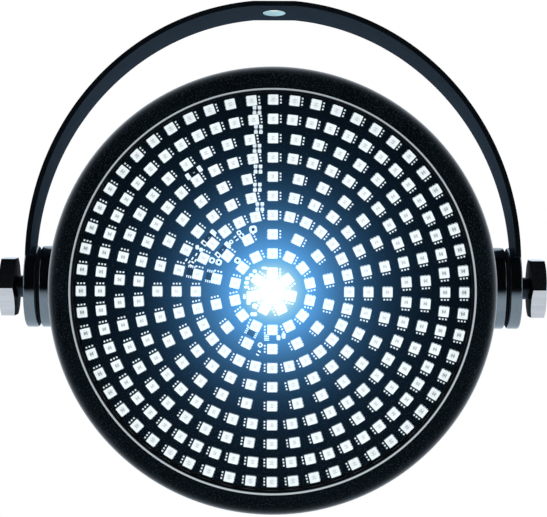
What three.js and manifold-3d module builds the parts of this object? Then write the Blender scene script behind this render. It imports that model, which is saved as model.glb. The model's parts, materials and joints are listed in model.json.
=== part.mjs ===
// A round stage strobe light: ten rings of square light-emitting packages on one board, behind a clear
// lens in a moulded two-part housing that tilts in a bent yoke between two hand knobs.
//
// Millimetres. X is to the right seen from the front, Y runs from front to back and Z is up.
// The origin is the centre of the yoke's bolt hole on its top face. The yoke stands upright and the
// head hangs in it, tilted down. Inside the head group the origin is on the pivot axis.

import * as THREE from "three";
import { mergeVertices } from "three/addons/utils/BufferGeometryUtils.js";
import Module from "manifold-3d";

// Clearances, overruns and facets
const SEAT_GAP = 0.3; // between two pieces that bear on each other
const OVERRUN = 1; // how far a cut runs past what it cuts
const EMBED = 0.4; // how far a joined feature sinks into its carrier
const ROUND = 40; // facets of the large round pieces
const RING_ROUND = 24; // facets of the flat ring inside
const EDGE_STEPS = 4; // facets across a rounded edge
const BOSS_ROUND = 20; // facets of the pivot discs
const SOCKET_ROUND = 16; // facets of socket bodies, rings and studs
const BUTTON_ROUND = 10; // facets of buttons, washers and screw pillars
const SMALL_ROUND = 6; // facets of screws and their posts
const MERGE_TOLERANCE = 1e-4;

// The lit field: rings of square packages, with this many packages in each, from the middle out
const RING_PITCH = 9;
const PACKAGES_IN_RING = [7, 14, 14, 28, 28, 28, 42, 42, 56, 56];
const PACKAGE_SIZE = 5;
const PACKAGE_HEIGHT = 1.6;
const FIELD_MARGIN = 0.8; // from the outer packages to the edge of the window
const BOARD_THICKNESS = 1.6;
const BOARD_LIP = 1.3; // how far the board reaches past the window

// Front bezel
const BEZEL_WIDTH = 12.1; // from the window to the outer edge
const BEZEL_DEPTH = 14.8; // from the front face to the seam
const BEZEL_EDGE_RADIUS = 6;
const BEZEL_WALL = 3;
const WINDOW_CHAMFER = 1.9;
const LENS_THICKNESS = 2;
const LENS_LIP = 1.7; // how far the lens reaches behind the bezel's lip
const LENS_AIR = 0.7; // from the back of the lens to the packages
const RIB_THICKNESS = 1.5; // the round rib that locates the lens and the board
const GASKET_WIDTH = 1.5;
const RETAINER_THICKNESS = 1.5;
const RETAINER_WIDTH = 18;

// Rear shell
const HEAD_FRONT = 37.4; // pivot axis to the bezel's front face
const HEAD_BACK = 30; // pivot axis to the back face
const SHELL_STEP = 1.1; // the shell is this much smaller than the bezel at the seam
const SHELL_DRAFT = 1; // and narrows this much towards the back
const SHELL_WALL = 2.6;
const SHELL_EDGE_RADIUS = 10;
const TONGUE_LENGTH = 3;
const TONGUE_THICKNESS = 2;
const TONGUE_ROOT = 4; // how far the tongue's thickness runs on inside the shell

// Case screws, which go from deep pockets in the back into the bezel
const CASE_SCREWS = 6;
const CASE_SCREW_FIRST = 30; // degrees above the right-hand side
const SCREW_RADIUS = 1.5;
const SCREW_HEAD_RADIUS = 2.8;
const SCREW_HEAD_HEIGHT = 2;
const SCREW_CLEARANCE = 0.3; // radial
const CASE_SCREW_LENGTH = 17;
const CASE_SCREW_GRIP = 11; // solid length of the pillar under the head
const PILLAR_WALL = 1.3; // around the head pocket
const BEZEL_BOSS_RADIUS = 4;

// Pivot: a disc on each side of the shell, a friction disc, and the yoke's own disc
const PIVOT_DISC_RADIUS = 19.6;
const PIVOT_DISC_CHAMFER = 0.6;
const BOSS_STAND = 6; // how far the shell's disc stands out past the bezel
const FRICTION_THICKNESS = 0.8;
const FRICTION_SET_IN = 1.6; // the friction disc is this much smaller than the pivot discs
const INSERT_RADIUS = 5;
const INSERT_LENGTH = 12;
const INSERT_FLANGE_RADIUS = 6.5;
const INSERT_FLANGE_THICKNESS = 1.5;
const INSERT_COVER = 6; // shell material left between the insert and the disc's face
const INSERT_BOSS_WALL = 3.5;

// Yoke
const HEAD_TILT = THREE.MathUtils.degToRad(11.2); // how far the head leans down at rest
const YOKE_RISE = 138.9; // pivot axis to the top face
const YOKE_LEG = 12.8; // pivot axis to the start of the bend
const YOKE_THICKNESS = 2.5;
const YOKE_WIDTH = 28;
const YOKE_DISC_THICKNESS = 6;
const YOKE_FLAT = 20; // flat length at the top, for a clamp
const YOKE_HOLE_RADIUS = 5.5;
const YOKE_BENDS = 40; // facets of the bend

// Hand knobs
const STUD_RADIUS = 3;
const STUD_CLEARANCE = 0.3; // radial
const STUD_IN_KNOB = 6;
const STUD_IN_INSERT = 10;
const WASHER_RADIUS = 5.6;
const WASHER_THICKNESS = 0.8;
const COLLAR_RADIUS = 5.3;
const COLLAR_LENGTH = 3.2;
const KNOB_SIDES = 6;
const KNOB_FLATS = 27.3; // across flats
const KNOB_THICKNESS = 7.3;
const KNOB_CHAMFER = 0.5;
const KNOB_DISH_RADIUS = 9;
const KNOB_DISH_DEPTH = 0.8;
const KNOB_TURN = THREE.MathUtils.degToRad(11); // a corner points this far below the front

// Vents in the back
const VENT_SLOTS = 9;
const VENT_PITCH = 9;
const VENT_WIDTH = 2.8;
const VENT_BOTTOM = 36; // height of the slots' lower ends above the pivot axis
const VENT_RIM = 12; // from the slots' upper ends to the edge of the flat back

// Control panel
const PANEL_HEIGHT = 27;
const PANEL_THICKNESS = 1.6;
const PANEL_CORNER = 4;
const PANEL_Z = 9; // height of its middle above the pivot axis
const PANEL_LAND = 5; // the shell's ledge behind the panel's edge
const PANEL_PAD = 2; // how much thicker the shell is around the panel
const PAD_MARGIN = 3; // how far that thicker wall reaches past a recess
const DISPLAY_WIDTH = 38;
const DISPLAY_HEIGHT = 14;
const DISPLAY_DEPTH = 7.5;
const DISPLAY_END_GAP = 1; // from the display module to the end of the shell's opening
const WINDOW_LIP = 2; // how far the display's window reaches past the display module
const WINDOW_THICKNESS = 1.3;
const BUTTON_NAMES = ["menu", "down", "up", "enter"];
const BUTTON_RADIUS = 3.6;
const BUTTON_PITCH = 11.5;
const BUTTON_DISPLAY_GAP = 4.2; // from the display module to the first button's flange
const BUTTON_END_GAP = 3.5; // from the last button's flange to the end of the shell's opening
const BUTTON_PROUD = 1.6;
const BUTTON_FLANGE = 1.2; // how far the flange reaches past the cap
const BUTTON_FLANGE_THICKNESS = 1;
const BUTTON_STEM = 2;
const BUTTON_TRAVEL = 0.8;
const SWITCH_SIZE = 6;
const SWITCH_HEIGHT = 3.6;
const CONTROL_BOARD_INSET = 3; // from the panel's ends to the board's
const CONTROL_BOARD_HEIGHT = 24;
const POST_RADIUS = 2.8;
const POST_INSET = 3; // from a board's edge to the middle of its post
const POST_SCREW_LENGTH = 5;
const MICROPHONE_RADIUS = 4.8;
const MICROPHONE_LENGTH = 6.5;
const MICROPHONE_HOLE_RADIUS = 1.2;
const MICROPHONE_OUT = 10; // from the panel's end to the microphone's middle
const MICROPHONE_CUP_WALL = 1.2;
const MICROPHONE_CUP_DEPTH = 3;

// Sockets, in one recess below the panel
const RECESS_MARGIN = 2.5; // from the flanges to the recess's edge
const RECESS_DEPTH = 3;
const RECESS_CORNER = 5;
const RECESS_Z = -41; // height of its middle above the pivot axis
const SOCKET_FLANGE = 2;
const SIGNAL_FLANGE_EDGE = 1; // how far the flange reaches past the body at its sides
const SIGNAL_FLANGE_TALLER = 5; // how much higher than wide the flange is
const SIGNAL_FLANGE_CORNER = 4;
const SIGNAL_WALL = 3.9; // from the cup to the outside of the body
const SIGNAL_DEPTH = 22;
const SIGNAL_CUP_RADIUS = 8.1;
const SIGNAL_CUP_DEPTH = 14;
const SIGNAL_GAP = 3; // between the two signal sockets' flanges
const SIGNAL_SCREW_EDGE = 3.5; // from the flange's edges to the middle of its screws
const PINS = 3;
const PIN_RADIUS = 1.2;
const PIN_CLEARANCE = 0.15; // radial, round a plug's pin in the socket with holes
const PIN_HOLE_FLOOR = 2; // solid left below those holes
const PIN_EDGE = 2.2; // from the circle of the pins to the outside of the sleeve
const PIN_RECESS = 2; // from the mouth to the pins' tips
const SLEEVE_GAP = 1.9; // the round groove of the socket with holes
const LATCH_WIDTH = 6;
const LATCH_HEIGHT = 2.4;
const LATCH_PROUD = 1.2;
const LATCH_LENGTH = 8;
const LATCH_TRAVEL = 1;
const INLET_SIGNAL_GAP = 13; // from the inlet's flange to the nearest signal socket's
const INLET_FLANGE_EDGE = 1; // how far the flange reaches past the body above and below
const INLET_FLANGE_CORNER = 2;
const INLET_WALL = 1.8;
const INLET_DEPTH = 24;
const INLET_CAVITY_WIDTH = 24.4;
const INLET_CAVITY_HEIGHT = 16.4;
const INLET_CAVITY_DEPTH = 16;
const INLET_CORNER = 4; // the two cut corners
const INLET_SCREW_OUT = 6; // from the body's side to the middle of its screw
const INLET_SCREW_EDGE = 4.5; // and from there to the flange's end
const BLADE_WIDTH = 2;
const BLADE_HEIGHT = 4;
const BLADE_SPREAD = 7; // live and neutral from the middle
const BLADE_RAISE = 2; // earth above the others' middle, and they below
const BLADE_RECESS = 2.5;
const SOCKET_SCREW_LENGTH = 7;

// Driver board and what stands on it
const DRIVER_HEIGHT = 46;
const DRIVER_EDGE = 6; // from the board's ends to the row of parts on it
const DRIVER_PART_GAP = 9.5; // between those parts
const DRIVER_ROW_GAP = 1; // from the heat sink to the transformer above it
const DRIVER_Z = 44; // height of its middle above the pivot axis
const DRIVER_STANDOFF = 12; // from the back wall
const CHOKE = { radius: 10, length: 9, hole: 4 };
const TRANSFORMER = { width: 30, height: 26, depth: 21 };
const CAPACITOR = { pitch: 17, radius: 7, length: 24 };
const HEATSINK = { widthShare: 0.64, edge: 2, height: 9, depth: 20, fin: 1.6, fins: 7, root: 2.4 };

// What follows from the driving sizes
const RINGS = PACKAGES_IN_RING.length;
const WINDOW_RADIUS = RINGS * RING_PITCH + PACKAGE_SIZE / 2 + FIELD_MARGIN;
const HEAD_RADIUS = WINDOW_RADIUS + BEZEL_WIDTH;
const LENS_RADIUS = WINDOW_RADIUS + LENS_LIP;
const BOARD_RADIUS = WINDOW_RADIUS + BOARD_LIP;
const RIB_INNER = LENS_RADIUS + SEAT_GAP;
const FRONT = -HEAD_FRONT;
const LIP_BACK = FRONT + BEZEL_WALL;
const LENS_FRONT = LIP_BACK + SEAT_GAP;
const LENS_BACK = LENS_FRONT + LENS_THICKNESS;
const PACKAGE_TOP = LENS_BACK + LENS_AIR;
const BOARD_FRONT = PACKAGE_TOP + PACKAGE_HEIGHT;
const BOARD_BACK = BOARD_FRONT + BOARD_THICKNESS;
const RETAINER_FRONT = BOARD_BACK + SEAT_GAP;
const RETAINER_BACK = RETAINER_FRONT + RETAINER_THICKNESS;
const SEAM = FRONT + BEZEL_DEPTH;
const SKIRT_INNER = HEAD_RADIUS - BEZEL_WALL;
const SHELL_RADIUS = HEAD_RADIUS - SHELL_STEP;
const SHELL_BACK_RADIUS = SHELL_RADIUS - SHELL_DRAFT;
const BACK_FLAT_RADIUS = SHELL_BACK_RADIUS - SHELL_EDGE_RADIUS;
const BACK = HEAD_BACK;
const BACK_INSIDE = BACK - SHELL_WALL;
const POCKET_RADIUS = SCREW_HEAD_RADIUS + SCREW_CLEARANCE;
const SCREW_CIRCLE = SHELL_BACK_RADIUS - PILLAR_WALL - POCKET_RADIUS;
const PILLAR_RADIUS = POCKET_RADIUS + PILLAR_WALL;
const RETAINER_RADIUS = SCREW_CIRCLE + SCREW_HEAD_RADIUS;
const PILLAR_FRONT = RETAINER_BACK + SEAT_GAP;
const HEAD_SEAT = PILLAR_FRONT + CASE_SCREW_GRIP;
const BOSS_FACE = HEAD_RADIUS + BOSS_STAND;
const FRICTION_FACE = BOSS_FACE + SEAT_GAP + FRICTION_THICKNESS;
const YOKE_DISC_INNER = FRICTION_FACE + SEAT_GAP;
const YOKE_OUTER = YOKE_DISC_INNER + YOKE_DISC_THICKNESS;
const WASHER_FACE = YOKE_OUTER + SEAT_GAP;
const COLLAR_FACE = WASHER_FACE + WASHER_THICKNESS + SEAT_GAP;
const KNOB_FACE = COLLAR_FACE + COLLAR_LENGTH + SEAT_GAP;
const INSERT_END = BOSS_FACE - INSERT_COVER;
const INSERT_START = INSERT_END - INSERT_LENGTH;
const PANEL_FACE = BACK;
const PANEL_FLOOR = BACK - PANEL_THICKNESS - SEAT_GAP;
const PANEL_PAD_INSIDE = BACK_INSIDE - PANEL_PAD;
const RECESS_FLOOR = BACK - RECESS_DEPTH;
const RECESS_INSIDE = RECESS_FLOOR - SHELL_WALL;
const FLANGE_BACK = RECESS_FLOOR + SEAT_GAP;
const FLANGE_FACE = FLANGE_BACK + SOCKET_FLANGE;
const DISPLAY_FRONT = PANEL_FACE - PANEL_THICKNESS - SEAT_GAP;
const CONTROL_BOARD_FACE = DISPLAY_FRONT - DISPLAY_DEPTH - SEAT_GAP;
const CONTROL_BOARD_BACK = CONTROL_BOARD_FACE - BOARD_THICKNESS;
const DRIVER_BACK = BACK_INSIDE - DRIVER_STANDOFF;
const DRIVER_FRONT = DRIVER_BACK - BOARD_THICKNESS;

// The panel's opening holds the buttons and the display, left to right seen from the front
const DISPLAY_MODULE_WIDTH = DISPLAY_WIDTH - 2 * WINDOW_LIP;
const BUTTON_FLANGE_RADIUS = BUTTON_RADIUS + BUTTON_FLANGE;
const BUTTON_ROW = (BUTTON_NAMES.length - 1) * BUTTON_PITCH + 2 * BUTTON_FLANGE_RADIUS;
const PANEL_OPENING = BUTTON_END_GAP + BUTTON_ROW + BUTTON_DISPLAY_GAP + DISPLAY_MODULE_WIDTH
  + DISPLAY_END_GAP;
const CONTROL_BOARD_WIDTH = PANEL_OPENING + 4 * POST_INSET;
const PANEL_WIDTH = CONTROL_BOARD_WIDTH + 2 * CONTROL_BOARD_INSET;
const DISPLAY_X = PANEL_OPENING / 2 - DISPLAY_END_GAP - DISPLAY_MODULE_WIDTH / 2;
const BUTTON_LAST_X = BUTTON_END_GAP + BUTTON_FLANGE_RADIUS - PANEL_OPENING / 2;
const MICROPHONE_X = PANEL_WIDTH / 2 + MICROPHONE_OUT;

// The recess holds the inlet and the two signal sockets
const SIGNAL_BODY_RADIUS = SIGNAL_CUP_RADIUS + SIGNAL_WALL;
const SIGNAL_FLANGE_WIDTH = 2 * (SIGNAL_BODY_RADIUS + SIGNAL_FLANGE_EDGE);
const SIGNAL_FLANGE_HEIGHT = SIGNAL_FLANGE_WIDTH + SIGNAL_FLANGE_TALLER;
const SIGNAL_SCREW_X = SIGNAL_FLANGE_WIDTH / 2 - SIGNAL_SCREW_EDGE;
const SIGNAL_SCREW_Z = SIGNAL_FLANGE_HEIGHT / 2 - SIGNAL_SCREW_EDGE;
const SLEEVE_RADIUS = SIGNAL_CUP_RADIUS - SLEEVE_GAP;
const PIN_CIRCLE = SLEEVE_RADIUS - PIN_EDGE;
const INLET_BODY_WIDTH = INLET_CAVITY_WIDTH + 2 * INLET_WALL;
const INLET_BODY_HEIGHT = INLET_CAVITY_HEIGHT + 2 * INLET_WALL;
const INLET_SCREW_X = INLET_BODY_WIDTH / 2 + INLET_SCREW_OUT;
const INLET_FLANGE_WIDTH = 2 * (INLET_SCREW_X + INLET_SCREW_EDGE);
const INLET_FLANGE_HEIGHT = INLET_BODY_HEIGHT + 2 * INLET_FLANGE_EDGE;
const RECESS_WIDTH = INLET_FLANGE_WIDTH + INLET_SIGNAL_GAP + 2 * SIGNAL_FLANGE_WIDTH + SIGNAL_GAP
  + 2 * RECESS_MARGIN;
const RECESS_HEIGHT = SIGNAL_FLANGE_HEIGHT + 2 * RECESS_MARGIN;
const SIGNAL_IN_X = RECESS_WIDTH / 2 - RECESS_MARGIN - SIGNAL_FLANGE_WIDTH / 2;
const SIGNAL_OUT_X = SIGNAL_IN_X - SIGNAL_FLANGE_WIDTH - SIGNAL_GAP;
const INLET_X = RECESS_MARGIN + INLET_FLANGE_WIDTH / 2 - RECESS_WIDTH / 2;

// The driver board carries a row of parts, left to right seen from the front, over its heat sink
const DRIVER_WIDTH = 2 * CHOKE.radius + TRANSFORMER.width + CAPACITOR.pitch + 2 * CAPACITOR.radius
  + 2 * (DRIVER_EDGE + DRIVER_PART_GAP);
const CHOKE_X = DRIVER_EDGE + CHOKE.radius - DRIVER_WIDTH / 2;
const TRANSFORMER_X = CHOKE_X + CHOKE.radius + DRIVER_PART_GAP + TRANSFORMER.width / 2;
const CAPACITOR_X = TRANSFORMER_X + TRANSFORMER.width / 2 + DRIVER_PART_GAP + CAPACITOR.radius;
const HEATSINK_Z = DRIVER_Z - DRIVER_HEIGHT / 2 + HEATSINK.edge + HEATSINK.height / 2;
const DRIVER_ROW_Z = HEATSINK_Z + HEATSINK.height / 2 + DRIVER_ROW_GAP + TRANSFORMER.height / 2;

const wasm = await Module();
wasm.setup();

// A closed geometry as a solid that can be joined and cut.
function solidOf(geometry) {
  const bare = geometry.index ? geometry.toNonIndexed() : geometry.clone();
  bare.deleteAttribute("normal");
  bare.deleteAttribute("uv");
  const merged = mergeVertices(bare, MERGE_TOLERANCE);
  const vertProperties = merged.attributes.position.array;
  const triVerts = new Uint32Array(merged.index.array);
  return new wasm.Manifold(new wasm.Mesh({ numProp: 3, vertProperties, triVerts }));
}

function geometryOf(solid) {
  const { vertProperties, triVerts } = solid.getMesh();
  const geometry = new THREE.BufferGeometry();
  geometry.setAttribute("position", new THREE.BufferAttribute(vertProperties, 3));
  geometry.setIndex(new THREE.BufferAttribute(triVerts, 1));
  geometry.computeVertexNormals();
  return geometry;
}

const joined = (...solids) => solids.flat().reduce((sum, next) => sum.add(next));
const cut = (solid, ...tools) => tools.flat().reduce((rest, tool) => rest.subtract(tool), solid);

// A profile of [radius, along] points turned about the Y axis. A ring's profile closes on itself.
function revolved(profile, facets) {
  const area = profile.reduce((sum, [r, y], i) => {
    const [nextR, nextY] = profile[(i + 1) % profile.length];
    return sum + r * nextY - nextR * y;
  }, 0);
  const ordered = area > 0 ? profile : [...profile].reverse();
  const onAxis = ordered.findIndex(([r], i) => r === 0 && ordered.at(i - 1)[0] === 0);
  const turned = onAxis < 0 ? ordered : [...ordered.slice(onAxis), ...ordered.slice(0, onAxis)];
  const closed = onAxis < 0 ? [...turned, turned[0]] : turned;
  const points = closed.map(([r, y]) => new THREE.Vector2(r, y));
  return solidOf(new THREE.LatheGeometry(points, facets));
}

// The same, turned about the X axis, with along measured outwards to the right.
const revolvedX = (profile, facets) =>
  revolved(profile.map(([r, x]) => [r, -x]), facets).rotate([0, 0, 90]);

// Points of a quarter round in a profile, from one angle to another.
function arcPoints(centreR, centreY, radius, from, to, steps) {
  return Array.from({ length: steps + 1 }, (_, i) => {
    const angle = THREE.MathUtils.degToRad(from + ((to - from) * i) / steps);
    return [centreR + radius * Math.cos(angle), centreY + radius * Math.sin(angle)];
  });
}

// A disc or ring about the Y axis from one depth to another.
const disc = (radius, from, to, facets) =>
  revolved([[0, from], [radius, from], [radius, to], [0, to]], facets);
const ring = (inner, outer, from, to, facets) =>
  revolved([[inner, from], [outer, from], [outer, to], [inner, to]], facets);

// The same about the X axis.
const discX = (radius, from, to, facets) =>
  revolvedX([[0, from], [radius, from], [radius, to], [0, to]], facets);
const ringX = (inner, outer, from, to, facets) =>
  revolvedX([[inner, from], [outer, from], [outer, to], [inner, to]], facets);

// A block given by its middle across and up, and by its depths.
function block(x, z, width, height, from, to) {
  const box = new THREE.BoxGeometry(width, to - from, height);
  return solidOf(box.translate(x, (from + to) / 2, z));
}

// An outline drawn in X and Z, given depth along Y.
function slab(shape, from, to, curveSegments = 2) {
  const made = new THREE.ExtrudeGeometry(shape, { depth: to - from, bevelEnabled: false, curveSegments });
  return solidOf(made.rotateX(Math.PI / 2).translate(0, to, 0));
}

function roundedRectangle(x, z, width, height, corner) {
  const [left, right, low, high] = [x - width / 2, x + width / 2, z - height / 2, z + height / 2];
  const shape = new THREE.Shape();
  shape.absarc(right - corner, high - corner, corner, 0, Math.PI / 2);
  shape.absarc(left + corner, high - corner, corner, Math.PI / 2, Math.PI);
  shape.absarc(left + corner, low + corner, corner, Math.PI, Math.PI * 1.5);
  shape.absarc(right - corner, low + corner, corner, Math.PI * 1.5, Math.PI * 2);
  return shape;
}

// Places round the head's axis: count of them, the first at the given angle in degrees.
function roundPlaces(count, radius, first) {
  return Array.from({ length: count }, (_, i) => {
    const angle = THREE.MathUtils.degToRad(first + (360 * i) / count);
    return [radius * Math.cos(angle), radius * Math.sin(angle)];
  });
}

// A pan-head screw along Y, its head's underside at the given depth and its shank running to the front.
function screwSolid(x, z, seat, length) {
  const profile = [
    [0, seat - length],
    [SCREW_RADIUS, seat - length],
    [SCREW_RADIUS, seat],
    [SCREW_HEAD_RADIUS, seat],
    [SCREW_HEAD_RADIUS, seat + SCREW_HEAD_HEIGHT],
    [0, seat + SCREW_HEAD_HEIGHT],
  ];
  return revolved(profile, SMALL_ROUND).translate([x, 0, z]);
}

const holeY = (x, z, radius, from, to, facets = SMALL_ROUND) =>
  disc(radius, from, to, facets).translate([x, 0, z]);

// Materials
const finish = (color, roughness, metalness = 0) =>
  new THREE.MeshStandardMaterial({ color, roughness, metalness });
const materials = {
  housing: finish(0x0c1014, 0.55),
  yoke: finish(0x14181c, 0.4, 0.2),
  clear: finish(0xe8f2f8, 0.05),
  rubber: finish(0x101010, 0.9),
  packages: finish(0xf2f5f8, 0.4),
  board: finish(0x123a24, 0.5),
  chrome: finish(0xd8dade, 0.12, 1),
  steel: finish(0xb4b8bc, 0.3, 1),
  brass: finish(0xc0983c, 0.3, 1),
  plastic: finish(0x08090a, 0.35),
  panel: finish(0x1a1d20, 0.5),
  display: finish(0x200406, 0.2),
  button: finish(0x2a2c2e, 0.6),
  copper: finish(0xd8b020, 0.5),
  capacitor: finish(0x1c2a48, 0.4),
  aluminium: finish(0xc4c8cc, 0.35, 1),
};

Object.assign(materials.clear, { transparent: true, opacity: 0.2 });

const part = new THREE.Group();
const yokeGroup = new THREE.Group();
const headGroup = new THREE.Group();
part.add(yokeGroup, headGroup);
yokeGroup.position.z = -YOKE_RISE;
headGroup.position.z = -YOKE_RISE;
headGroup.rotation.x = HEAD_TILT;

// Adds a solid to a group as a named mesh.
function add(group, name, solid, material) {
  const mesh = new THREE.Mesh(geometryOf(solid), material);
  mesh.name = name;
  group.add(mesh);
  return mesh;
}

// Yoke: a flat bar bent to half an oval with straight legs, each ending in a thick disc with the
// knob's hole, and a flat with the bolt hole at the top.
function yokeSolid() {
  const inner = YOKE_OUTER - YOKE_THICKNESS;
  const outerStart = Math.acos(YOKE_FLAT / 2 / YOKE_OUTER);
  const outerRise = (YOKE_RISE - YOKE_LEG) / Math.sin(outerStart);
  const innerRise = outerRise - YOKE_THICKNESS;
  const innerStart = Math.asin((YOKE_RISE - YOKE_THICKNESS - YOKE_LEG) / innerRise);
  const outline = new THREE.Shape();
  outline.moveTo(YOKE_OUTER, 0);
  outline.absellipse(0, YOKE_LEG, YOKE_OUTER, outerRise, 0, outerStart);
  outline.absellipse(0, YOKE_LEG, YOKE_OUTER, outerRise, Math.PI - outerStart, Math.PI);
  outline.lineTo(-YOKE_OUTER, 0);
  outline.lineTo(-inner, 0);
  outline.absellipse(0, YOKE_LEG, inner, innerRise, Math.PI, Math.PI - innerStart, true);
  outline.absellipse(0, YOKE_LEG, inner, innerRise, innerStart, 0, true);
  outline.lineTo(inner, 0);
  const bar = slab(outline, -YOKE_WIDTH / 2, YOKE_WIDTH / 2, YOKE_BENDS / 2);
  const c = PIVOT_DISC_CHAMFER;
  const discProfile = [
    [0, YOKE_DISC_INNER],
    [PIVOT_DISC_RADIUS - c, YOKE_DISC_INNER],
    [PIVOT_DISC_RADIUS, YOKE_DISC_INNER + c],
    [PIVOT_DISC_RADIUS, YOKE_OUTER - c],
    [PIVOT_DISC_RADIUS - c, YOKE_OUTER],
    [0, YOKE_OUTER],
  ];
  const right = revolvedX(discProfile, BOSS_ROUND);
  const studRadius = STUD_RADIUS + STUD_CLEARANCE;
  const studHole = discX(studRadius, YOKE_DISC_INNER - OVERRUN, YOKE_OUTER + OVERRUN, SOCKET_ROUND);
  const boltHole = new THREE.CylinderGeometry(
    YOKE_HOLE_RADIUS, YOKE_HOLE_RADIUS, YOKE_THICKNESS + 2 * OVERRUN, SOCKET_ROUND);
  boltHole.rotateX(Math.PI / 2).translate(0, 0, YOKE_RISE - YOKE_THICKNESS / 2);
  const whole = joined(bar, right, right.rotate([0, 0, 180]));
  return cut(whole, studHole, studHole.rotate([0, 0, 180]), solidOf(boltHole));
}

// Bezel: a round ring with a rolled outer edge, a chamfered window, a skirt that laps the shell, a rib
// that locates the lens and the board, and a boss for each case screw.
function bezelSolid() {
  const r = BEZEL_EDGE_RADIUS;
  const profile = [
    [WINDOW_RADIUS, LIP_BACK],
    [WINDOW_RADIUS, FRONT + WINDOW_CHAMFER],
    [WINDOW_RADIUS + WINDOW_CHAMFER, FRONT],
    ...arcPoints(HEAD_RADIUS - r, FRONT + r, r, -90, 0, EDGE_STEPS),
    [HEAD_RADIUS, SEAM],
    [SKIRT_INNER, SEAM],
    [SKIRT_INNER, LIP_BACK + r / 2],
    [SKIRT_INNER - r / 2, LIP_BACK],
    [RIB_INNER + RIB_THICKNESS, LIP_BACK],
    [RIB_INNER + RIB_THICKNESS, BOARD_BACK],
    [RIB_INNER, BOARD_BACK],
    [RIB_INNER, LIP_BACK],
  ];
  const places = roundPlaces(CASE_SCREWS, SCREW_CIRCLE, CASE_SCREW_FIRST);
  const bosses = places.map(([x, z]) => holeY(x, z, BEZEL_BOSS_RADIUS, LIP_BACK - EMBED, BOARD_BACK));
  const pilotEnd = HEAD_SEAT - CASE_SCREW_LENGTH - OVERRUN;
  const pilots = places.map(([x, z]) =>
    holeY(x, z, SCREW_RADIUS + SCREW_CLEARANCE, pilotEnd, BOARD_BACK + OVERRUN));
  const lensRoom = disc(RIB_INNER, LIP_BACK, BOARD_BACK + OVERRUN, ROUND);
  const trimmed = bosses.map((boss) => cut(boss, lensRoom));
  return cut(joined(revolved(profile, ROUND), trimmed), pilots);
}

// Light-emitting board: a round board with one square package for each place in the rings.
function ledBoardSolid() {
  const board = disc(BOARD_RADIUS, BOARD_FRONT, BOARD_BACK, ROUND);
  const packages = PACKAGES_IN_RING.flatMap((count, ringIndex) =>
    Array.from({ length: count }, (_, i) => {
      const angle = Math.PI / 2 + (2 * Math.PI * i) / count;
      const body = new THREE.BoxGeometry(PACKAGE_SIZE, PACKAGE_HEIGHT + EMBED, PACKAGE_SIZE);
      body.translate((ringIndex + 1) * RING_PITCH, PACKAGE_TOP + (PACKAGE_HEIGHT + EMBED) / 2, 0);
      return solidOf(body.rotateY(-angle));
    }));
  return joined(board, packages);
}

// Retainer: a flat ring that the case screws hold against the back of the board.
function retainerSolid() {
  const inner = RETAINER_RADIUS - RETAINER_WIDTH;
  const flat = ring(inner, RETAINER_RADIUS, RETAINER_FRONT, RETAINER_BACK, RING_ROUND);
  const holes = roundPlaces(CASE_SCREWS, SCREW_CIRCLE, CASE_SCREW_FIRST).map(([x, z]) =>
    holeY(x, z, SCREW_RADIUS + SCREW_CLEARANCE, RETAINER_FRONT - OVERRUN, RETAINER_BACK + OVERRUN));
  return cut(flat, holes);
}

// Height of the flat back's edge above the pivot axis at a distance across, less a rim.
const backChord = (x, rim) => Math.sqrt((BACK_FLAT_RADIUS - rim) ** 2 - x ** 2);

// The screw places of the two boards, the sockets and the inlet.
const driverPosts = [[-1, -1], [1, -1], [-1, 1], [1, 1]].map(([sx, sz]) => [
  sx * (DRIVER_WIDTH / 2 - POST_INSET),
  DRIVER_Z + sz * (DRIVER_HEIGHT / 2 - POST_INSET),
]);
const controlPosts = [-1, 1].map((side) => [
  side * (CONTROL_BOARD_WIDTH / 2 - POST_INSET),
  PANEL_Z,
]);
const signalPlaces = [SIGNAL_IN_X, SIGNAL_OUT_X];
const socketScrews = [
  ...signalPlaces.flatMap((x) =>
    [-1, 1].map((side) => [x + side * SIGNAL_SCREW_X, RECESS_Z - side * SIGNAL_SCREW_Z])),
  [INLET_X - INLET_SCREW_X, RECESS_Z],
  [INLET_X + INLET_SCREW_X, RECESS_Z],
];
const buttonPlaces = BUTTON_NAMES.map((_, i) =>
  BUTTON_LAST_X + (BUTTON_NAMES.length - 1 - i) * BUTTON_PITCH);

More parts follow.
